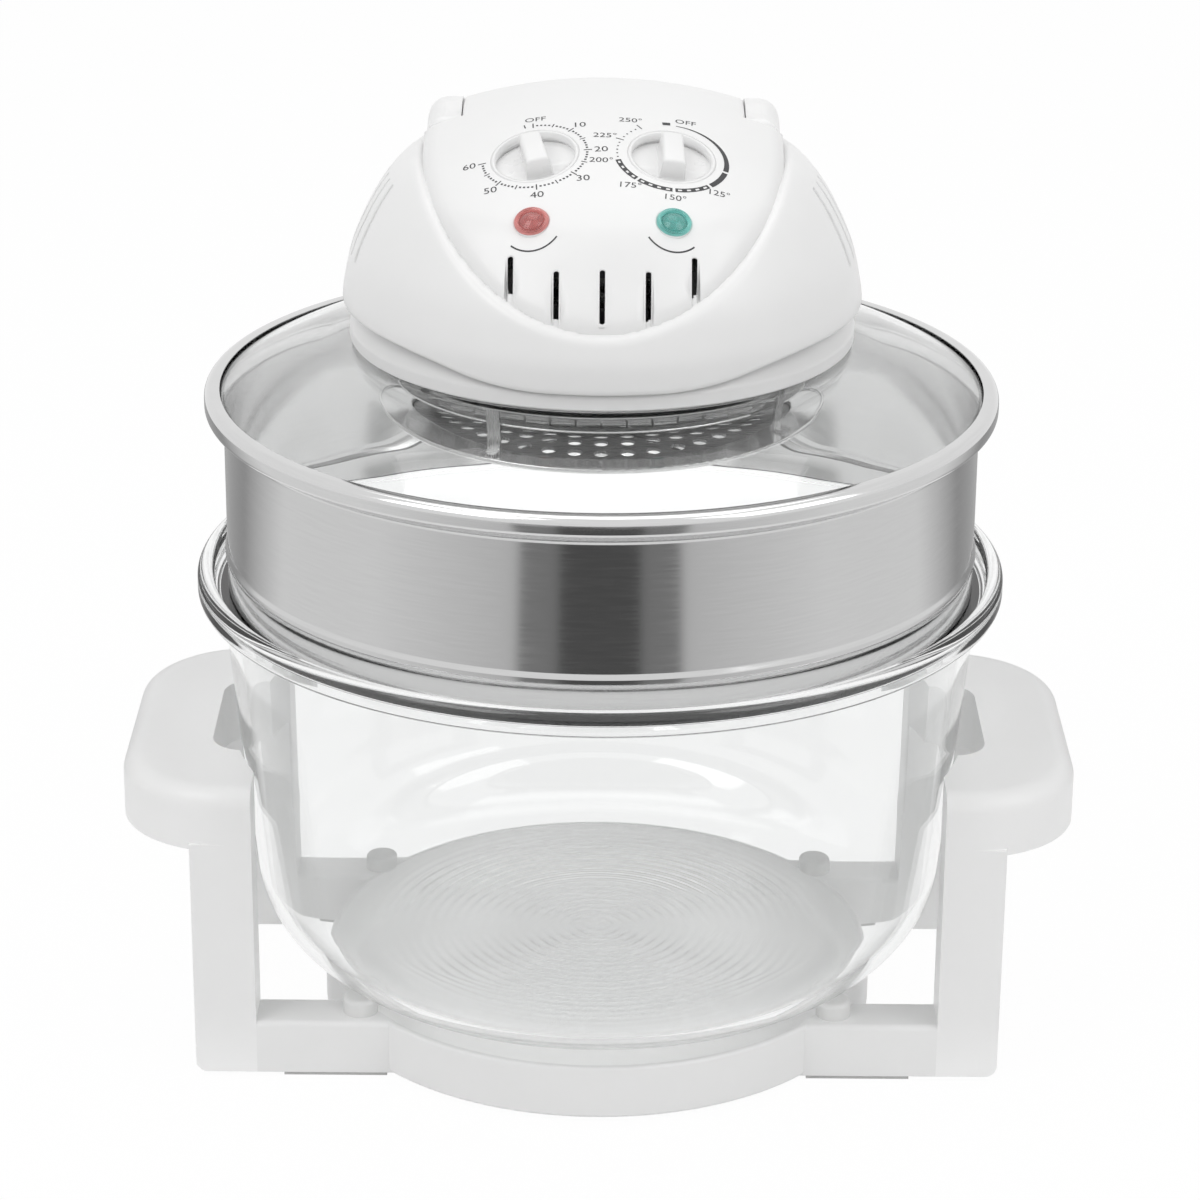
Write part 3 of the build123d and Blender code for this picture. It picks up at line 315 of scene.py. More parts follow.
def radial_mix(made, radius, colour, fade=0.004):
    """Another colour inside a radius round the upright axis."""
    tree, mix = colour_mix(made)
    flat = tree.nodes.new("ShaderNodeVectorMath")
    flat.operation = "MULTIPLY"
    flat.inputs[1].default_value = (1, 1, 0)
    link(tree, object_point(tree), flat.inputs[0])
    size = tree.nodes.new("ShaderNodeVectorMath")
    size.operation = "LENGTH"
    link(tree, flat.outputs["Vector"], size.inputs[0])
    level = ranged(tree, size.outputs["Value"], 1.0, 0.0, radius - fade, radius + fade)
    link(tree, level, mix.inputs["Factor"])
    mix.inputs["B"].default_value = (*colour, 1)


def glass(name, colour):
    """Clear pressed glass with a slow waviness; its shadow is let through."""
    made, tree, shader = material(name)
    shader.inputs["Transmission Weight"].default_value = 1.0
    shader.inputs["IOR"].default_value = 1.46
    tint(tree, noise(tree, 5.0), [c * 0.995 for c in colour], colour, shader)
    link(tree, ranged(tree, noise(tree, 30.0), 0.0, 0.01), shader.inputs["Roughness"])
    bump(tree, shader, noise(tree, 14.0, 1.0), 0.02, 0.001)
    clear = tree.nodes.new("ShaderNodeBsdfTransparent")
    clear.inputs["Color"].default_value = (0.99, 0.993, 0.991, 1)
    mix = tree.nodes.new("ShaderNodeMixShader")
    rays = tree.nodes.new("ShaderNodeLightPath")
    link(tree, rays.outputs["Is Shadow Ray"], mix.inputs["Fac"])
    link(tree, shader.outputs["BSDF"], mix.inputs[1])
    link(tree, clear.outputs["BSDF"], mix.inputs[2])
    link(tree, mix.outputs["Shader"], tree.nodes["Material Output"].inputs["Surface"])
    return made


head_white = plastic("head_white", (0.82, 0.82, 0.818), 0.33, 0.05)
knob_white = plastic("knob_white", (0.82, 0.82, 0.818), 0.3, 0.04)
stand_white = plastic("stand_white", (0.83, 0.83, 0.828), 0.38, 0.07)
# The stand base's white, with painted light: a paler colour inside 113 mm of the axis, where the bowl and
# head shade the tray
tray_white_painted_light = plastic("tray_white_painted_light", (0.83, 0.83, 0.828), 0.38, 0.07)
radial_mix(tray_white_painted_light, 0.113, (0.97, 0.97, 0.968))
lighten_hollows(stand_white, 0.05, (0.98, 0.98, 0.978))
black_plastic = plastic("black_plastic", (0.035, 0.035, 0.037), 0.45, 0.15)
foot_rubber = plastic("foot_rubber", (0.5, 0.5, 0.495), 0.75, 0.3)
stud_rubber = plastic("stud_rubber", (0.74, 0.74, 0.735), 0.6, 0.2)
silicone = plastic("silicone", (0.6, 0.6, 0.59), 0.6, 0.1)
wire_cover = plastic("wire_cover", (0.78, 0.77, 0.72), 0.4, 0.05)
ceramic = plastic("ceramic", (0.82, 0.8, 0.75), 0.65, 0.4)
print_ink = plastic("print_ink", (0.03, 0.03, 0.033), 0.5, 0.05)
bowl_glass = glass("bowl_glass", (0.945, 0.949, 0.948))
# Painted light: the glass inside 100 mm of the axis is nearly colourless, so that the shaded tray seen
# through the bowl's floor looks lighter
radial_mix(bowl_glass, 0.1, (0.998, 1.0, 0.999))
lid_glass = glass("lid_glass", (0.965, 0.97, 0.968))
tube_glass = glass("tube_glass", (0.98, 0.98, 0.97))
ring_steel = metal("ring_steel", (0.62, 0.62, 0.62), 0.13, (1, 1, 18), 0.03, 0.97)
rim_steel = metal("rim_steel", (0.66, 0.66, 0.66), 0.12, (1, 1, 30), 0.02, 0.97)
sheet_steel = metal("sheet_steel", (0.6, 0.6, 0.6), 0.24, (1, 30, 1), 0.05)
guard_steel = metal("guard_steel", (0.2, 0.2, 0.2), 0.3, (1, 30, 1), 0.05)
mesh_wire = metal("mesh_wire", (0.92, 0.92, 0.92), 0.2, (1, 1, 1), 0.02)
zinc = metal("zinc", (0.6, 0.6, 0.58), 0.3, (1, 1, 1), 0.08)
darken_creases(ring_steel, 0.004, 0.12)
darken_creases(rim_steel, 0.004, 0.12)
bright_pan = metal("bright_pan", (0.8, 0.8, 0.8), 0.17, (6, 6, 6), 0.1)
fan_metal = metal("fan_metal", (0.75, 0.75, 0.76), 0.25, (4, 4, 4), 0.08)
core_metal = metal("core_metal", (0.34, 0.34, 0.36), 0.45, (1, 1, 60), 0.4)
copper = metal("copper", (0.7, 0.36, 0.2), 0.3, (60, 1, 1), 0.5)
bronze = metal("bronze", (0.6, 0.47, 0.26), 0.4, (8, 8, 8), 0.1)


def lens_material(name, colour):
    made, tree, shader = material(name)
    shader.inputs["Transmission Weight"].default_value = 0.75
    shader.inputs["IOR"].default_value = 1.49
    tint(tree, noise(tree, 120.0), [c * 0.9 for c in colour], colour, shader)
    link(tree, ranged(tree, noise(tree, 200.0), 0.05, 0.12), shader.inputs["Roughness"])
    bump(tree, shader, noise(tree, 400.0, 1.0), 0.03)
    return made


red_lens = lens_material("red_lens", (0.97, 0.36, 0.34))
green_lens = lens_material("green_lens", (0.28, 0.82, 0.75))


def wool_material():
    made, tree, shader = material("mineral_wool")
    tint(tree, noise(tree, 300.0, 8.0, (1, 1, 6)), (0.55, 0.52, 0.42), (0.8, 0.78, 0.7), shader)
    shader.inputs["Roughness"].default_value = 0.95
    bump(tree, shader, noise(tree, 500.0, 8.0, (1, 1, 5)), 0.8, 0.0006)
    return made


wool = wool_material()

# Materials of the CAD nodes that stay as they are
carried = {
    "stand_base": tray_white_painted_light,
    "left_side_handle": stand_white,
    "right_side_handle": stand_white,
    "stand_feet": foot_rubber,
    "bowl_support_studs": stud_rubber,
    "stand_screws": zinc,
    "upper_hub_gasket": silicone,
    "lower_hub_gasket": silicone,
    "lower_housing": head_white,
    "cover_screws": zinc,
    "lamp_holders": black_plastic,
    "timer_body": black_plastic,
    "thermostat_body": ceramic,
    "control_screws": zinc,
    "motor_stator": core_metal,
    "motor_coil": copper,
    "lower_motor_bracket": zinc,
    "upper_motor_bracket": zinc,
    "lower_shaft_bush": bronze,
    "upper_shaft_bush": bronze,
    "motor_bolts": zinc,
    "bracket_screws": zinc,
    "microswitch": black_plastic,
    "thermal_cutout": ceramic,
    "terminal_block": black_plastic,
    "wiring_harness": wire_cover,
    "cord_gland": head_white,
    "handle_pivot_pins": zinc,
    "reflector_pan": bright_pan,
    "insulation_disc": wool,
    "pan_screws": zinc,
    "halogen_tube": tube_glass,
    "tube_end_caps": ceramic,
    "tube_clips": sheet_steel,
    "mesh_screen": mesh_wire,
    "heater_guard": guard_steel,
    "guard_ring": rim_steel,
    "guard_brackets": sheet_steel,
    "motor_shaft": zinc,
    "rotor_core": core_metal,
    "cooling_fan": fan_metal,
    "convection_fan": fan_metal,
    "fan_nut": zinc,
    "carry_handle": head_white,
    "timer_spindle": zinc,
    "thermostat_spindle": zinc,
    "switch_plunger": black_plastic,
}
for name, made in carried.items():
    data = NODES[name].data
    data.materials.clear()
    data.materials.append(made)
    data.shade_smooth()
    data.set_sharp_from_angle(angle=math.radians(32))

# Glass bowl
low_radius, flare, corner, base, wall = 142.6, 0.0958, 46.8, 30.0, 4.5
rim_low, rim_high, rim_radius, ledge = 193.0, 203.5, 168.0, 196.0
rim_inner, ledge_inner = 161.0, 153.0
ridge_reach, ridge_pitch, ridge_depth = 101, 4.6, 0.07
path_gap = 1.1
wall_top = low_radius + flare * (rim_low - base)
inner_low = low_radius + flare * wall - wall * math.sqrt(1 + flare**2)
outer = rounded(
    [(0, base), (low_radius, base), (wall_top, rim_low), (rim_radius, rim_low), (rim_radius, rim_high)],
    [0, corner, 3.0, 2.5, 0],
    step=4.0,
)[:-1]
inner = rounded(
    [
        (wall_top, rim_low),
        (rim_radius, rim_low),
        (rim_radius, rim_high),
        (rim_inner, rim_high),
        (rim_inner, ledge),
        (ledge_inner, ledge),
        (inner_low, base + wall),
        (0, base + wall),
    ],
    [0, 2.5, 3.5, 3.2, 1.2, 1.4, corner - wall, 0],
    step=4.0,
)


def dense(path, gap):
    """The same path with no step longer than about a gap."""
    out = [path[0]]
    for a, b in zip(path, path[1:]):
        steps = max(1, int(math.hypot(b[0] - a[0], b[1] - a[1]) / gap))
        for k in range(1, steps + 1):
            out.append((a[0] + (b[0] - a[0]) * k / steps, a[1] + (b[1] - a[1]) * k / steps))
    return out


def moulded_rings(path, level):
    """Concentric pressed ridges in the bowl's floor, which lies at a level."""
    out = []
    for r, z in path:
        if r < ridge_reach and abs(z - level) < 0.6:
            fade = min(1.0, (ridge_reach - r) / 12) * min(1.0, r / 6)
            z += ridge_depth * fade * math.sin(2 * math.pi * r / ridge_pitch)
        out.append((r, z))
    return out


outer = moulded_rings(dense(outer, path_gap), base)
start = next(i for i, p in enumerate(inner) if p[1] > rim_low + 1 and p[0] > rim_inner - 1)
inner = moulded_rings(dense(inner[start:], path_gap), base + wall)
bowl = lathe("glass_bowl_visual", outer + inner, "bowl", bowl_glass, 220, False, 50)
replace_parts(bowl, "glass_bowl")

# Steel extender ring: a band that follows the path from the end of its turned-in foot
ring_path = rounded(
    [
        (153.8, 196.1),
        (155.3, 196.1),
        (155.3, 208.6),
        (156.2, 210.6),
        (156.2, 212.6),
        (155.3, 214.6),
        (155.3, 268.2),
        (158.6, 271.9),
        (160.0, 271.9),
    ],
    [0, 1.0, 2.0, 1.2, 1.2, 2.0, 3.0, 1.2, 0],
    step=15,
)
ring_profile = band(ring_path[3:], 1.0)
ring = lathe("extender_ring_visual", ring_profile, "ring", ring_steel, 240, True, 60)
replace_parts(ring, "extender_ring")

# Lid: rim and glass
rim_profile = rounded(
    [
        (156.5, 272.0),
        (163.0, 272.0),
        (163.0, 281.0),
        (156.6, 281.0),
        (156.6, 280.0),
        (162.0, 280.0),
        (162.0, 273.0),
        (156.5, 273.0),
    ],
    [0.3, 2.8, 3.2, 0.4, 0.4, 2.0, 1.6, 0.3],
    True,
    12,
)
rim = lathe("lid_rim_visual", rim_profile, "lid", rim_steel, 240)
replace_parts(rim, "lid_rim")

edge, flat_r, hub_r, low_z, hub_z, lid_t = 161.9, 156.9, 98.0, 279.6, 301.0, 4.0
run, rise = flat_r - hub_r, hub_z - low_z
lid_curve = spline(
    [
        (flat_r, low_z),
        (flat_r - 0.13 * run, low_z + 0.18 * rise),
        (flat_r - 0.40 * run, low_z + 0.51 * rise),
        (flat_r - 0.70 * run, low_z + 0.80 * rise),
        (hub_r, hub_z),
    ],
    40,
    (-0.894, 0.447),
    (-1, 0),
)
top = [(edge - 0.4, low_z)] + [tuple(p) for p in lid_curve] + [(82.0, hub_z)]
bottom = [(r, z - lid_t) for r, z in top]
pane_profile = [(edge, low_z - 0.4)] + top + bottom[::-1] + [(edge, low_z - lid_t + 0.4)]
lid_pane = lathe("lid_glass_visual", pane_profile, "lid", lid_glass, 220)
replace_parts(lid_pane, "lid_glass")

# Outlines of the head, as in the CAD
dome_r = 105.6
dome_top = 380.5
dome_points = [
    (dome_r, 319.0),
    (dome_r - 1.2, 328.0),
    (dome_r - 3.0, 336.5),
    (dome_r - 9.5, 353.0),
    (dome_r - 20.1, 370.0),
    (dome_r - 28.6, 377.4),
    (dome_r - 36.0, dome_top - 0.4),
    (dome_r - 45.6, dome_top),
]
dome_curve = spline(dome_points, 400, (0, 1), (-1, 0))
roof_points = [
    (-116, 322),
    (-95, 354),
    (-78, 371),
    (-61, 380),
    (-44, 387),
    (-22, 394.3),
    (11, 400.6),
    (37, 398.8),
    (64, 388.5),
]
roof_curve = spline(roof_points, 600)
front_curve = spline(
    [
        (dome_r - 2.4, 326),
        (dome_r - 3.1, 336),
        (dome_r - 5.9, 345.5),
        (dome_r - 10.0, 355),
        (dome_r - 13.6, 367),
        (dome_r - 16.6, 385),
        (dome_r - 17.0, 404),
    ],
    300,
)
crown_axis = 205.0
shield_half, shield_length, shield_centre, shield_rear = 72.5, 99.7, 262.0, 313.0
pocket_x, pocket_front = 57.0, 4.4


def dome_z(r):
    return np.interp(-r, -dome_curve[:, 0], dome_curve[:, 1], left=300.0, right=dome_top)


def dome_radius_at(z):
    return np.interp(z, dome_curve[:, 1], dome_curve[:, 0])


def to_plane(x, y, z):
    """Coordinates across and along the slanted direction that the panel's outline is cut in."""
    return x, (y + z) * S, (z - y) * S


def from_plane(u, v, w):
    return u, (v - w) * S, (v + w) * S


def solve(f, low, high, steps=46):
    low, high = low.astype(float).copy(), high.astype(float).copy()
    for _ in range(steps):
        mid = (low + high) / 2
        inside = f(mid) < 0
        low = np.where(inside, mid, low)
        high = np.where(inside, high, mid)
    return (low + high) / 2


def panel_top(u, v):
    """Height of the panel's skin along the slanted direction, without its edge rounding."""
    u, v = np.broadcast_arrays(np.asarray(u, float), np.asarray(v, float))

    def roof(w):
        y, z = (v - w) * S, (v + w) * S
        return np.hypot(u, z - crown_axis) - roof_reach(y)

    def front(w):
        y, z = (v - w) * S, (v + w) * S
        return np.hypot(u, y) - np.interp(z, front_curve[:, 1], front_curve[:, 0])

    a = solve(roof, np.full(u.shape, 150.0), np.full(u.shape, 400.0))
    b = solve(front, v.copy(), v + 250.0)
    blend = 14.0
    mix = np.maximum(blend - np.abs(a - b), 0) / blend
    return np.minimum(a, b) - mix * mix * blend * 0.25


def dome_top_w(u, v):
    """Height of the dome along the slanted direction, on its front side."""
    u, v = np.broadcast_arrays(np.asarray(u, float), np.asarray(v, float))

    def f(w):
        y, z = (v - w) * S, (v + w) * S
        return z - dome_z(np.hypot(u, y))

    return solve(f, np.full(u.shape, 150.0), np.full(u.shape, 400.0))


def shield_outline(gap):
    """Closed outline of the panel's opening in (u, v), with a flag for the arm pockets."""
    half, rear = shield_half - gap, shield_rear - gap
    px = pocket_x - gap
    pocket_y = pocket_front - gap
    out = []
    steps = 110
    for k in range(steps + 1):
        t = math.pi + math.pi * k / steps
        out.append((half * math.cos(t), shield_centre + (shield_length - gap) * math.sin(t), 0))
    front_v = float((pocket_y + pocket_side_z(half, pocket_y)) * S)
    for k in range(1, 12):
        out.append((half, shield_centre + (front_v - shield_centre) * k / 12, 0))
    across = [half + (px - half) * k / 10 for k in range(11)]
    for x in across:
        out.append((x, float((pocket_y + pocket_side_z(x, pocket_y)) * S), 1))
    inner_v = out[-1][1]
    for k in range(1, 16):
        out.append((px, inner_v + (rear - inner_v) * k / 16, 1))
    for k in range(41):
        out.append((px - 2 * px * k / 40, rear, 2))
    for k in range(1, 16):
        out.append((-px, rear + (inner_v - rear) * k / 16, 1))
    for x in across[::-1]:
        out.append((-x, float((pocket_y + pocket_side_z(x, pocket_y)) * S), 1))
    for k in range(1, 12):
        out.append((-half, front_v + (shield_centre - front_v) * k / 12, 0))
    return out


def roof_reach(y):
    """The roof's radius round its crown axis, at a depth."""
    return np.interp(y, roof_curve[:, 0], roof_curve[:, 1]) - crown_axis


def pocket_side_z(x, y):
    return crown_axis + math.sqrt(roof_reach(y) ** 2 - x**2)


def distance_to(points, segments):
    """Distance of each point from a set of segments."""
    p = np.asarray(points, float)
    best = np.full(len(p), 1e9)
    for a, b in segments:
        a, b = np.array(a, float), np.array(b, float)
        d = b - a
        t = np.clip(((p - a) @ d) / max(d @ d, 1e-12), 0, 1)
        best = np.minimum(best, np.hypot(*(p - a - t[:, None] * d).T))
    return best


def inside(points, polygon):
    """Which of the points lie inside a closed outline."""
    p = np.asarray(points, float)
    q = np.asarray(polygon, float)
    hit = np.zeros(len(p), bool)
    for a, b in zip(q, np.roll(q, -1, axis=0)):
        cross = (a[1] > p[:, 1]) != (b[1] > p[:, 1])
        with np.errstate(divide="ignore", invalid="ignore"):
            x = (b[0] - a[0]) * (p[:, 1] - a[1]) / (b[1] - a[1]) + a[0]
        hit ^= cross & (p[:, 0] < x)
    return hit


panel_gap = 0.2
outline = shield_outline(panel_gap)
outline_xy = [(a, b) for a, b, _ in outline]
soft_edges, pocket_edges, rear_edges = [], [], []
for a, b in zip(outline, outline[1:] + outline[:1]):
    group = soft_edges if b[2] == 0 and a[2] == 0 else pocket_edges if 1 in (a[2], b[2]) else rear_edges
    group.append((a[:2], b[:2]))


def quarter(distance, radius):
    """Depth below a face, at a distance from its edge, that rounds the edge by a radius."""
    t = np.clip(distance / radius, 0, 1)
    return radius * (1 - np.sqrt(np.clip(1 - (1 - t) ** 2, 0, 1)))


soft_radius, pocket_radius, rear_radius = 6.0, 1.6, 3.0


def skin(uv):
    """Height of the panel's skin with its rounded edges."""
    uv = np.asarray(uv, float)
    w = panel_top(uv[:, 0], uv[:, 1])
    w = w - quarter(distance_to(uv, soft_edges), soft_radius)
    w = w - quarter(distance_to(uv, pocket_edges), pocket_radius)
    return w - quarter(distance_to(uv, rear_edges), rear_radius)


def roof_frame(x, y):
    """Centre, two directions and outward normal of the roof at a place."""
    reach = float(roof_reach(y))
    slope = float(roof_reach(y + 0.5) - roof_reach(y - 0.5))
    height = math.sqrt(reach**2 - x**2)
    normal = Vector((x, -reach * slope, height)).normalized()
    side = Vector((normal.z, 0, -normal.x)).normalized()
    return Vector((x, y, crown_axis + height)), side, normal.cross(side), normal


dial_x, dial_y, well_radius, well_depth, well_points = 27.0, -39.0, 17.5, 8.0, 72
lamp_x, lamp_y, lamp_hole, lamp_points = 27.5, -75.6, 6.85, 40
mouth_rounding = 0.5
dials = {"timer": roof_frame(-dial_x, dial_y), "thermostat": roof_frame(dial_x, dial_y)}
lamps = {"power": roof_frame(-lamp_x, lamp_y), "heat": roof_frame(lamp_x, lamp_y)}


def set_in(place, verts):
    """Points of a place's own frame, in the object's frame."""
    centre, e1, e2, n = place
    return [tuple(centre + v[0] * e1 + v[1] * e2 + v[2] * n) for v in verts]


def on_skin(place, x, y, lift=0.0):
    """Points of the panel's skin under the local (x, y) of a place, raised by a lift."""
    centre, e1, e2, n = place
    x, y = np.asarray(x, float), np.asarray(y, float)
    base_point = np.array(centre)[None] + x[:, None] * np.array(e1) + y[:, None] * np.array(e2)
    h = np.zeros(len(x))
    for _ in range(12):
        p = base_point + h[:, None] * np.array(n)
        u, v, w = to_plane(p[:, 0], p[:, 1], p[:, 2])
        gap = panel_top(u, v) - w
        h += gap / (np.array(n) @ np.array([0, -S, S])) * 0.9
    return base_point + (h + lift)[:, None] * np.array(n)


holes = []
cdt_points, cdt_edges, cdt_xyz = [], [], []


def add_points(points_uv, xyz=None):
    """Points for the panel's mesh. Those without a place in space go on the skin later."""
    for k, uv in enumerate(points_uv):
        cdt_points.append(Vector((float(uv[0]), float(uv[1]))))
        cdt_xyz.append(tuple(float(c) for c in xyz[k]) if xyz is not None else None)


def add_loop(points_uv, xyz=None):
    """Points joined by a closed ring of edges that the mesh keeps."""
    first = len(cdt_points)
    add_points(points_uv, xyz)
    count = len(points_uv)
    for k in range(count):
        cdt_edges.append((first + k, first + (k + 1) % count))


def lipped_hole(place, radius, lip, count):
    """Loops round a hole whose mouth is rounded."""
    angles = np.linspace(0, 2 * math.pi, count, endpoint=False)
    for grow in (lip * 2.2, lip, 0.62 * lip, 0.32 * lip, 0.1 * lip, 0.0):
        r = radius + grow
        p = on_skin(place, r * np.cos(angles), r * np.sin(angles))
        u, v, w = to_plane(p[:, 0], p[:, 1], p[:, 2])
        drop = float(quarter(np.array(grow), lip))
        p = p - drop * np.array(place[3])[None]
        add_loop(list(zip(u, v)), p)
    holes.append(list(zip(u, v)))


for place in dials.values():
    lipped_hole(place, well_radius, mouth_rounding, well_points)
for place in lamps.values():
    lipped_hole(place, lamp_hole, mouth_rounding, lamp_points)

# Vent slots: upright slots through the steep front, as (x, lower end, upper end)
slots = []
slot_half_width, slot_end_share = 1.0, 0.7
for x, z_low, z_high in ((0, 334.9, 355.0), (17.7, 336.8, 354.2), (35.4, 343.4, 358.0)):
    for side in (-1, 1) if x else (1,):
        v_scan = np.linspace(168, 225, 400)
        w_scan = panel_top(np.full(400, float(x)), v_scan)
        z_scan = (v_scan + w_scan) * S
        v_low = float(np.interp(z_low, z_scan, v_scan))
        v_high = float(np.interp(z_high, z_scan, v_scan))
        if side * x not in [s[0] for s in slots]:
            slots.append((side * x, v_low, v_high))
for x, v_low, v_high in slots:
    for grow, drop in ((0.8, 0.0), (0.35, 0.05), (0.1, 0.25), (0.0, 0.6)):
        half = slot_half_width + grow
        loop = []
        for turn, v_end in ((0.0, v_high), (math.pi, v_low)):
            for k in range(9):
                t = turn + math.pi * k / 8
                loop.append((x + half * math.cos(t), v_end + half * slot_end_share * math.sin(t)))
        uv = np.array(loop)
        w = skin(uv) - drop
        xs, ys, zs = from_plane(uv[:, 0], uv[:, 1], w)
        add_loop(loop, list(zip(xs, ys, zs)))
    holes.append(loop)

# Edge loops drawn in from the outline
ring_points = np.array(outline_xy)
tangent = np.roll(ring_points, -1, axis=0) - np.roll(ring_points, 1, axis=0)
tangent /= np.hypot(*tangent.T)[:, None]
inward = np.stack([-tangent[:, 1], tangent[:, 0]], 1)
add_loop(outline_xy)
all_edges = soft_edges + pocket_edges + rear_edges
for share in (0.02, 0.08, 0.18, 0.32, 0.5, 0.75, 1.0):
    loop = ring_points + inward * share * soft_radius
    clear = distance_to(loop, all_edges) > share * soft_radius * 0.93
    add_points(loop[clear & inside(loop, outline_xy)])
cell = 2.2
grid = np.array([(x, y) for x in np.arange(-73, 73.1, cell) for y in np.arange(164, 315, cell)])
near = distance_to(grid, all_edges)
grid = grid[inside(grid, outline_xy) & (near > soft_radius * 1.15)]
for hole in holes:
    loop = np.array(hole)
    away = distance_to(grid, list(zip(loop, np.roll(loop, -1, axis=0))))
    margin = 3.6 if len(hole) == well_points else 2.4
    grid = grid[(away > margin) & ~inside(grid, hole)]
add_points(grid)

made_points, _, made_faces, source, _, _ = delaunay_2d_cdt(cdt_points, cdt_edges, [], 0, 1e-4)
flat = np.array([(p.x, p.y) for p in made_points])
unknown = [i for i in range(len(flat)) if not any(cdt_xyz[k] is not None for k in source[i])]
heights = skin(flat[unknown])
xyz = [None] * len(flat)
for i, w in zip(unknown, heights):
    xyz[i] = from_plane(flat[i][0], flat[i][1], w)
for i in range(len(flat)):
    if xyz[i] is None:
        xyz[i] = next(cdt_xyz[k] for k in source[i] if cdt_xyz[k] is not None)
centres = np.array([flat[list(f)].mean(0) for f in made_faces])
keep = inside(centres, outline_xy)
for hole in holes:
    keep &= ~inside(centres, hole)
panel_faces = [list(f) for f, k in zip(made_faces, keep) if k]
panel_verts = list(xyz)

# The panel's side walls, down into the dome's opening
outline_w = skin(np.array(outline_xy) + inward * 0.001)
floor_w = dome_top_w(ring_points[:, 0], ring_points[:, 1]) - 4.0
floor_w = np.minimum(floor_w, outline_w - 1.0)
rows = []
for t in (0.0, 0.5, 1.0):
    w = outline_w * (1 - t) + floor_w * t
    x, y, z = from_plane(ring_points[:, 0], ring_points[:, 1], w)
    rows.append([len(panel_verts) + k for k in range(len(w))])
    panel_verts += list(zip(x, y, z))
for upper, lower in zip(rows, rows[1:]):
    for k in range(len(upper)):
        n = (k + 1) % len(upper)
        panel_faces.append([upper[k], upper[n], lower[n], lower[k]])

# Walls and floors of the dial wells, and short walls of the lamp holes
spindle_hole = 4.05
well_corners = [
    (well_radius, -0.7),
    (well_radius, -well_depth),
    (spindle_hole, -well_depth),
    (spindle_hole, -well_depth - 2.0),
]
well_profile = rounded(well_corners, [0, 1.0, 0.3, 0], step=20)
lamp_profile = [(lamp_hole, -0.4), (lamp_hole, -3.5)]
for places, profile, count in ((dials, well_profile, well_points), (lamps, lamp_profile, lamp_points)):
    verts, faces = lathe_data(profile, count, False)
    for place in places.values():
        first = len(panel_verts)
        panel_verts += set_in(place, verts)
        panel_faces += [[first + i for i in f] for f in faces]

panel = make("control_panel_visual", panel_verts, panel_faces, "lid", head_white, 50)
thicken(panel, 1.6)
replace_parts(panel, "control_panel")

# Domed cover: a fine skin with the panel's opening, the side louvres and a wavy lower lip
louvre_angle, louvre_pitch, louvre_count = 76, 6, 6
louvre_low, louvre_high = 338.0, 369.0
slot_angles = [side * (louvre_angle + louvre_pitch * k) for side in (-1, 1) for k in range(louvre_count)]
angles = list(np.arange(-180, 180, 0.8))
for c in slot_angles:
    angles = [a for a in angles if abs(a - c) > 0.95]
    angles += [c - 0.55, c + 0.55]
angles = np.array(sorted(angles))


def lip(angle):
    """Height of the cover's lower edge at an angle from the front."""
    x = abs(math.sin(math.radians(angle))) * dome_r
    t = min(max((x - 22.5) / 71, 0), 1)
    return 309.5 + 8.5 * (2 * t * t if t < 0.5 else 1 - 2 * (1 - t) ** 2)


rise_rows = dome_curve[(dome_curve[:, 1] > 321)][::5]
rise_rows = [p for p in rise_rows if abs(p[1] - louvre_low) > 0.5 and abs(p[1] - louvre_high) > 0.4]
rise_rows += [(dome_radius_at(z), z) for z in (louvre_low, louvre_high)]
rise_rows = sorted(((float(r), float(z)) for r, z in rise_rows), key=lambda p: (-p[0], p[1]))
flat_rows = [(r, dome_top) for r in np.arange(58.5, 3, -1.6)]
low_steps = 7
columns = []
for a in angles:
    foot = lip(a)
    column = [(dome_r - 1.2, foot + 0.1), (dome_r - 0.35, foot + 0.25), (dome_r, foot + 1.0)]
    for k in range(1, low_steps + 1):
        z = foot + 1.0 + (320.5 - foot - 1.0) * k / low_steps
        column.append((dome_r if z < 319 else float(dome_radius_at(z)), z))
    columns.append(column + rise_rows + flat_rows)
cover_r = np.array([[p[0] for p in c] for c in columns])
cover_z = np.array([[p[1] for p in c] for c in columns])
theta = np.radians(angles)[:, None]
cover_x = cover_r * np.sin(theta)
cover_y = -cover_r * np.cos(theta)
opening = shield_outline(0.0)
opening_xy = [(a, b) for a, b, _ in opening]
opening_edges = list(zip(opening_xy, opening_xy[1:] + opening_xy[:1]))
flat_uv = np.stack([cover_x.ravel(), ((cover_y + cover_z) * S).ravel()], 1)
facing = (cover_z - cover_y).ravel() * S > dome_top_w(flat_uv[:, 0], flat_uv[:, 1]) - 1.5
covered = inside(flat_uv, opening_xy) & facing
away = np.where(facing, distance_to(flat_uv, opening_edges), 99.0)
lip_radius = 3.6
drop = np.where(covered, lip_radius, quarter(away, lip_radius)).reshape(cover_r.shape)
slope_r = np.gradient(cover_r, axis=1)
slope_z = np.gradient(cover_z, axis=1)
length = np.hypot(slope_r, slope_z)
out_r, out_z = slope_z / length, -slope_r / length
cover_r2 = cover_r - drop * out_r
cover_z2 = cover_z - drop * out_z
verts = []
for i in range(cover_r.shape[0]):
    s, c = math.sin(theta[i, 0]), -math.cos(theta[i, 0])
    for j in range(cover_r.shape[1]):
        verts.append((cover_r2[i, j] * s, cover_r2[i, j] * c, cover_z2[i, j]))
rows_per = cover_r.shape[1]
covered_deep = (covered & (distance_to(flat_uv, opening_edges) > 2.4)).reshape(cover_r.shape)
faces = []
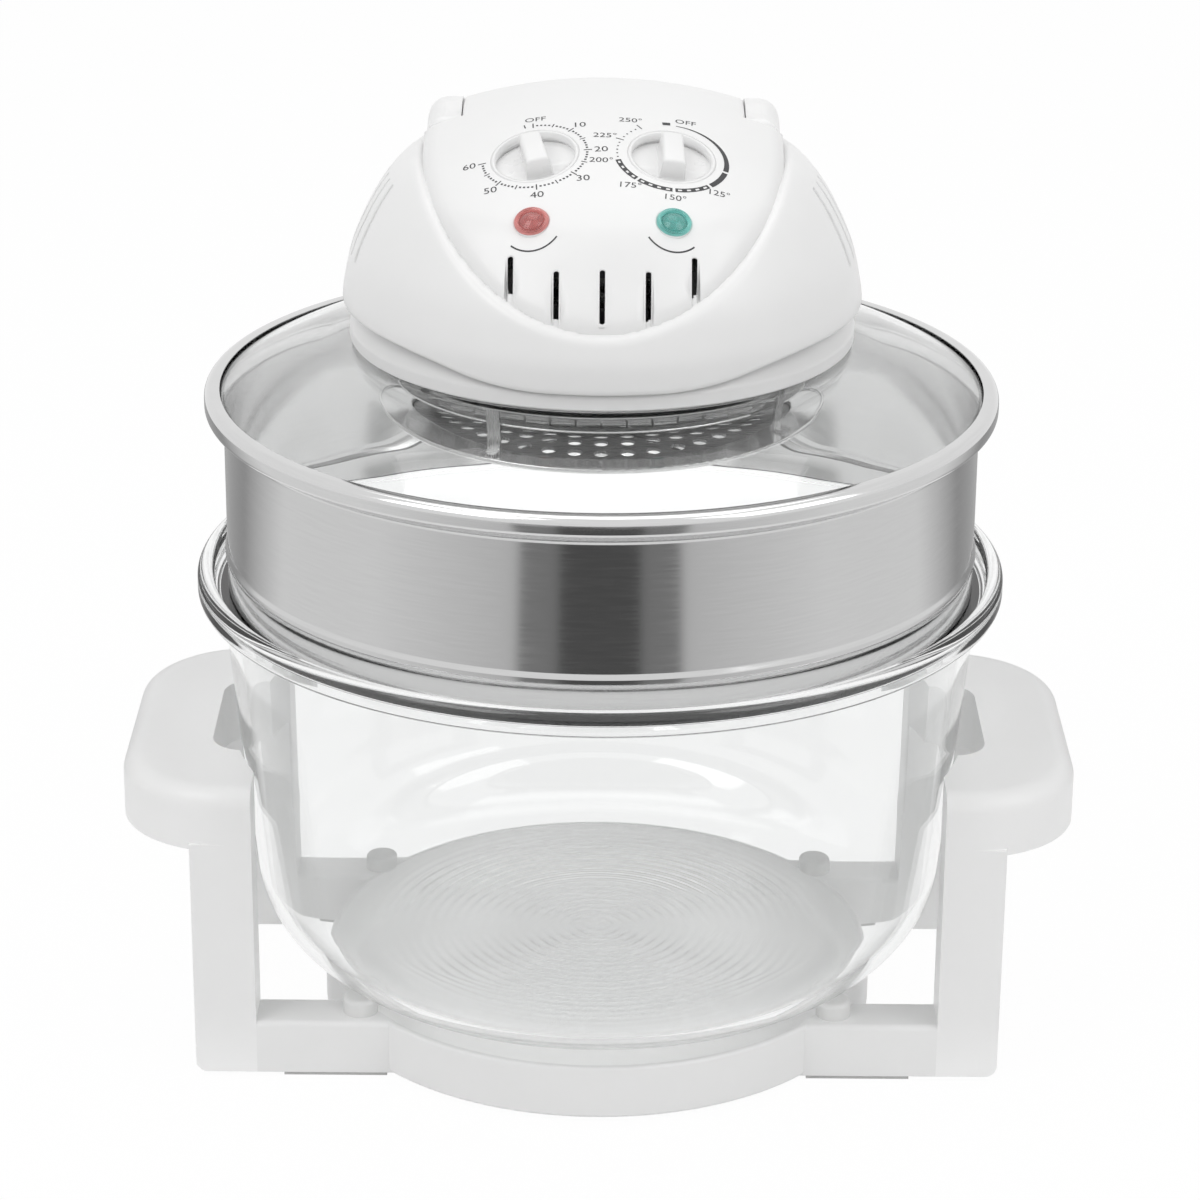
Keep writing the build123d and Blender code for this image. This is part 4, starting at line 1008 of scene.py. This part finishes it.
for i in range(cover_r.shape[0]):
    n = (i + 1) % cover_r.shape[0]
    middle = (angles[i] + (angles[n] if n else 180.0)) / 2
    slotted = any(abs(middle - c) < 0.4 for c in slot_angles)
    for j in range(rows_per - 1):
        if covered_deep[i, j] and covered_deep[n, j + 1]:
            continue
        z_mid = (cover_z[i, j] + cover_z[i, j + 1]) / 2
        if slotted and louvre_low < z_mid < louvre_high:
            continue
        faces.append([i * rows_per + j, n * rows_per + j, n * rows_per + j + 1, i * rows_per + j + 1])
cover = make("top_cover_visual", verts, faces, "lid", head_white, 45)
thicken(cover, 2.2)
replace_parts(cover, "top_cover")


# Knobs
knob_r, knob_cell, knob_bottom = 17.0, 0.45, -7.3


def knob_height(x, y):
    """Raised bar grip on a skirt whose front half falls away from a crease."""
    skirt = -2.6 - 0.13 * np.clip(y + 6, 0, 30) - 0.42 * np.clip(-6 - y, 0, 30)
    skirt = skirt - quarter(np.clip(knob_r - np.hypot(x, y), 0, None), 0.8)
    gap = np.minimum(4.4 + 0.02 * (3 - y) - np.abs(x), 10.0 - np.abs(y))
    crown = 4.85 - 0.004 * y**2 - 0.012 * x**2
    rise = np.clip((gap + 0.7) / 0.7, 0, 1)
    bar = crown - quarter(np.clip(gap, 0, None), 1.3)
    foot = skirt + 0.9 * np.clip((gap + 1.7) / 1.7, 0, 1) ** 2
    return np.where(gap > 0, bar, np.where(gap > -0.7, skirt + (crown - 1.3 - skirt) * rise**2.2, foot))


def make_knob(name, place, body, turn, replaced):
    centre, e1, e2, n = place
    span = np.arange(-knob_r - 0.1, knob_r + 0.11, knob_cell)
    verts, index, faces = [], {}, []
    c, s = math.cos(math.radians(turn)), math.sin(math.radians(turn))

    def put(x, y, z):
        xr, yr = x * c - y * s, x * s + y * c
        verts.append(tuple(centre + float(xr) * e1 + float(yr) * e2 + float(z) * n))
        return len(verts) - 1

    for i, x in enumerate(span):
        for j, y in enumerate(span):
            r = math.hypot(x, y)
            if r < knob_r - knob_cell * 0.35:
                index[i, j] = put(x, y, float(knob_height(np.array(x), np.array(y))))
    for i in range(len(span)):
        for j in range(len(span)):
            corners = [(i, j), (i + 1, j), (i + 1, j + 1), (i, j + 1)]
            have = [index[k] for k in corners if k in index]
            if len(have) > 2:
                faces.append(have)
    bm = bmesh.new()
    for v in verts:
        bm.verts.new([q * MM for q in v])
    bm.verts.ensure_lookup_table()
    for f in faces:
        bm.faces.new([bm.verts[k] for k in f])
    bm.edges.ensure_lookup_table()
    border = [e for e in bm.edges if e.is_boundary]
    rim_verts = {v for e in border for v in e.verts}
    centre_m = centre * MM
    for v in rim_verts:
        local = v.co - centre_m
        x, y = local.dot(e1), local.dot(e2)
        r = math.hypot(x, y)
        v.co += (e1 * x + e2 * y) * (knob_r * MM / r - 1)
    result = bmesh.ops.extrude_edge_only(bm, edges=border)
    fresh = [g for g in result["geom"] if isinstance(g, bmesh.types.BMVert)]
    for v in fresh:
        depth = (v.co - centre_m).dot(n)
        v.co += n * (knob_bottom * MM - depth)
    floor = [g for g in result["geom"] if isinstance(g, bmesh.types.BMEdge)]
    bmesh.ops.contextual_create(bm, geom=floor)
    bmesh.ops.recalc_face_normals(bm, faces=bm.faces)
    mesh = bpy.data.meshes.new(name)
    bm.to_mesh(mesh)
    bm.free()
    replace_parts(finish_piece(name, mesh, body, knob_white, 48), replaced)


make_knob("timer_knob_visual", dials["timer"], "timer_dial", 8.0, "timer_knob")
make_knob("thermostat_knob_visual", dials["thermostat"], "thermostat_dial", 5.0, "thermostat_knob")


# Lamp lenses: a stepped ring round a faceted dome
def make_lens(name, place, tinted, replaced):
    profile = [(6.8, -5.0), (6.8, 0.4), (6.4, 1.0), (5.8, 1.15), (5.3, 0.9), (5.1, 0.3), (4.9, 0.3)]
    for k in range(9):
        r = 4.7 - k * 0.55
        z = 0.5 + 1.9 * (1 - (r / 4.8) ** 2)
        profile += [(r, z), (max(r - 0.3, 0.02), z + 0.12)]
    profile += [(0, 2.5), (0, 0.2), (5.0, -1.2), (5.4, -5.0)]
    verts, faces = lathe_data(profile, 48)
    obj = make(name, set_in(place, verts), faces, "lid", tinted, 30)
    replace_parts(obj, replaced)


make_lens("power_lamp_lens_visual", lamps["power"], red_lens, "power_lamp_lens")
make_lens("heat_lamp_lens_visual", lamps["heat"], green_lens, "heat_lamp_lens")

# Printing on the panel, all of it in one piece
letter_stretch = 1.12
ink_verts, ink_faces = [], []


def ink(place, verts, faces):
    p = on_skin(place, [v[0] for v in verts], [v[1] for v in verts], 0.06)
    first = len(ink_verts)
    ink_verts.extend([tuple(q) for q in p])
    ink_faces.extend([[first + i for i in f] for f in faces])


def dial_point(angle, radius):
    """Point at a clockwise angle from the top of a dial."""
    t = math.radians(angle)
    return radius * math.sin(t), radius * math.cos(t)


def tick(place, angle, low, high, width):
    t = math.radians(angle)
    side = (math.cos(t) * width / 2, -math.sin(t) * width / 2)
    a, b = dial_point(angle, low), dial_point(angle, high)
    corners = [(p[0] + k * side[0], p[1] + k * side[1]) for p, k in ((a, -1), (a, 1), (b, 1), (b, -1))]
    ink(place, corners, [[0, 1, 2, 3]])


def arc(place, start, end, low, high, low_end=None, high_end=None, steps=None):
    """Part of a ring between two angles and two radii, which may change along it."""
    steps = steps or max(2, int(abs(end - start) / 3))
    low_end = low if low_end is None else low_end
    high_end = high if high_end is None else high_end
    verts, faces = [], []
    for k in range(steps + 1):
        f = k / steps
        angle = start + (end - start) * f
        for r in (low + (low_end - low) * f, high + (high_end - high) * f):
            verts.append(dial_point(angle, r))
    for k in range(steps):
        faces.append([2 * k, 2 * k + 2, 2 * k + 3, 2 * k + 1])
    ink(place, verts, faces)


def label(place, text, x, y, size):
    curve = bpy.data.curves.new("label", "FONT")
    curve.body = text
    curve.size = size
    curve.align_x = "CENTER"
    curve.align_y = "CENTER"
    curve.resolution_u = 3
    holder = add_object("label", curve)
    bpy.context.view_layer.update()
    mesh = bpy.data.meshes.new_from_object(holder.evaluated_get(bpy.context.evaluated_depsgraph_get()))
    verts = [(x + v.co.x * letter_stretch, y + v.co.y) for v in mesh.vertices]
    ink(place, verts, [list(f.vertices) for f in mesh.polygons])
    bpy.data.objects.remove(holder)
    bpy.data.curves.remove(curve)
    bpy.data.meshes.remove(mesh)


# The timer's scale: 60 minutes over 270 degrees
timer = dials["timer"]
minute_angle = 4.5
for minute in range(61):
    angle = minute * minute_angle
    if minute % 10 == 0:
        tick(timer, angle, 19.4, 22.6, 0.5)
    elif minute % 5 == 0:
        tick(timer, angle, 19.6, 22.0, 0.45)
    else:
        tick(timer, angle, 20.3, 21.2, 0.85)
tick(timer, -9.0, 20.0, 22.6, 0.5)
for minute in (10, 20, 30, 40, 50, 60):
    x, y = dial_point(minute * minute_angle, 26.2 if minute in (20, 60) else 25.8)
    label(timer, str(minute), x, y, 5.0)
label(timer, "OFF", 1.0, 25.6, 4.4)

# The thermostat's scale: a growing band, three links of a chain, and dots between the last marks
warm = dials["thermostat"]
chain_gaps = 4
arc(warm, -12, -4, 21.6, 23.6)
arc(warm, 2, 100, 21.5, 21.9, 20.8, 23.0)
arc(warm, 103, 133, 20.8, 23.0)
for a, b in ((136, 174), (177, 214), (217, 253)):
    arc(warm, a, b, 20.8, 21.45)
    arc(warm, a, b, 22.35, 23.0)
    for k in range(chain_gaps + 1):
        mid = a + (b - a) * k / chain_gaps
        arc(warm, max(a, mid - 2.6), min(b, mid + 2.6), 21.45, 22.35)
for start, dots, mark in ((258, 5, 290), (296, 4, 322)):
    for k in range(dots):
        tick(warm, start + k * 6.5, 21.3, 22.0, 0.62)
    tick(warm, mark, 20.6, 24.0, 0.45)
for angle, value, out in (
    (134, "125", 27.0),
    (175, "150", 26.6),
    (215, "175", 27.0),
    (255, "200", 28.4),
    (290, "225", 28.6),
    (322, "250", 28.2),
):
    x, y = dial_point(angle, out)
    label(warm, value + "°", x, y, 4.5)
label(warm, "OFF", 4.5, 25.6, 4.4)

for place in lamps.values():
    arc(place, 133, 227, 12.1, 12.7, steps=24)

make("panel_printing", ink_verts, ink_faces, "lid", print_ink, 0, False)

# Camera from the photograph: focal length and width in its pixels, place in millimetres, turns in radians
photo_f, photo_width = 3903.77, 1200
distance, height, pitch, roll = 1525.81, 791.46, 0.3792, 0.0075
camera_data = bpy.data.cameras.new("camera")
camera_data.sensor_width = 36.0
camera_data.lens = camera_data.sensor_width * photo_f / photo_width
camera_data.clip_end = 20
camera = add_object("camera", camera_data)
view = Matrix.Translation((0, -distance * MM, height * MM)) @ Matrix.Rotation(math.pi / 2 - pitch, 4, "X")
camera.matrix_world = view @ Matrix.Rotation(roll, 4, "Z")
bpy.context.scene.camera = camera


# Floor, world and lamps
floor_reach, floor_drop, floor_glow = 6, 0.0002, 0.97
world_light = 0.55


def combined(tree, operation, first, second):
    """Two values through a math node; the second may be a plain number."""
    made = tree.nodes.new("ShaderNodeMath")
    made.operation = operation
    link(tree, first, made.inputs[0])
    if isinstance(second, float):
        made.inputs[1].default_value = second
    else:
        link(tree, second, made.inputs[1])
    return made.outputs[0]


def plain_ray_switch(tree):
    """1 for rays that see the background straight, in a mirror or through glass."""
    rays = tree.nodes.new("ShaderNodeLightPath").outputs
    straight = combined(tree, "MAXIMUM", rays["Is Camera Ray"], rays["Is Transmission Ray"])
    return combined(tree, "MAXIMUM", straight, rays["Is Glossy Ray"])


def matt_material(name, level):
    made, tree, shader = material(name)
    shader.inputs["Base Color"].default_value = (level, level, level, 1)
    shader.inputs["Roughness"].default_value = 1.0
    shader.inputs["Specular IOR Level"].default_value = 0.0
    return made, tree, shader


floor_mesh = bpy.data.meshes.new("floor")
corners = [(x * floor_reach, y * floor_reach, 0) for x, y in ((-1, -1), (1, -1), (1, 1), (-1, 1))]
floor_mesh.from_pydata(corners, [], [(0, 1, 2, 3)])
floor = add_object("floor", floor_mesh)
floor.location.z = -floor_drop
floor_material, tree, shader = matt_material("floor", 0.95)
glow = tree.nodes.new("ShaderNodeEmission")
mix = tree.nodes.new("ShaderNodeMixShader")
link(tree, combined(tree, "MULTIPLY", plain_ray_switch(tree), floor_glow), mix.inputs["Fac"])
link(tree, shader.outputs["BSDF"], mix.inputs[1])
link(tree, glow.outputs["Emission"], mix.inputs[2])
link(tree, mix.outputs["Shader"], tree.nodes["Material Output"].inputs["Surface"])
floor_mesh.materials.append(floor_material)

world = bpy.data.worlds.new("world")
bpy.context.scene.world = world
world.use_nodes = True
tree = world.node_tree
background = tree.nodes["Background"]
background.inputs["Color"].default_value = (1, 1, 1, 1)
strength = ranged(tree, plain_ray_switch(tree), world_light, 1.0, 0.0, 1.0)
link(tree, strength, background.inputs["Strength"])


def softbox(name, place, target, size, power):
    data = bpy.data.lights.new(name, "AREA")
    data.shape = "RECTANGLE"
    data.size, data.size_y = size
    data.energy = power
    lamp = add_object(name, data)
    lamp.location = place
    direction = Vector(target) - Vector(place)
    lamp.rotation_euler = direction.to_track_quat("-Z", "Y").to_euler()


softbox("key", (-1.3, -1.2, 1.9), (0, 0, 0.25), (1.4, 1.4), 16)
softbox("fill", (1.5, -1.0, 1.5), (0, 0, 0.2), (1.4, 1.4), 11)
softbox("top", (0, 0.4, 2.4), (0, 0, 0.2), (1.8, 1.8), 12)

# A studio screen round the object that only reflections see. By degrees from the front: a dark
# card, a grey card on each side of it, bright side walls, and a dim rear corner
screen_radius, screen_height = 0.45, 0.2
screen_tones = (
    (9.5, 0.1),
    (10.5, 0.25),
    (19.5, 0.25),
    (20.5, 0.65),
    (60, 0.9),
    (95, 0.9),
    (120, 0.35),
    (180, 0.6),
)
screen_verts, screen_faces, screen_colours = [], [], []
for k in range(361):
    turn = math.radians(k - 180)
    tone = float(np.interp(abs(k - 180), *zip(*screen_tones)))
    for z in (0.0, screen_height):
        screen_verts.append((screen_radius * math.sin(turn), -screen_radius * math.cos(turn), z))
        screen_colours += [tone, tone, tone, 1.0]
    if k:
        screen_faces.append((2 * k - 2, 2 * k, 2 * k + 1, 2 * k - 1))
screen_mesh = bpy.data.meshes.new("screen")
screen_mesh.from_pydata(screen_verts, [], screen_faces)
tones = screen_mesh.color_attributes.new("tone", "FLOAT_COLOR", "POINT")
tones.data.foreach_set("color", screen_colours)
screen = add_object("screen", screen_mesh)
screen_material, tree, shader = matt_material("screen", 0)
shader.inputs["Emission Strength"].default_value = 1.0
tone = tree.nodes.new("ShaderNodeAttribute")
tone.attribute_name = "tone"
link(tree, tone.outputs["Color"], shader.inputs["Emission Color"])
screen_mesh.materials.append(screen_material)
screen.visible_camera = False
screen.visible_transmission = False
screen.visible_diffuse = False
screen.visible_shadow = False

bpy.context.scene.view_settings.view_transform = "Standard"
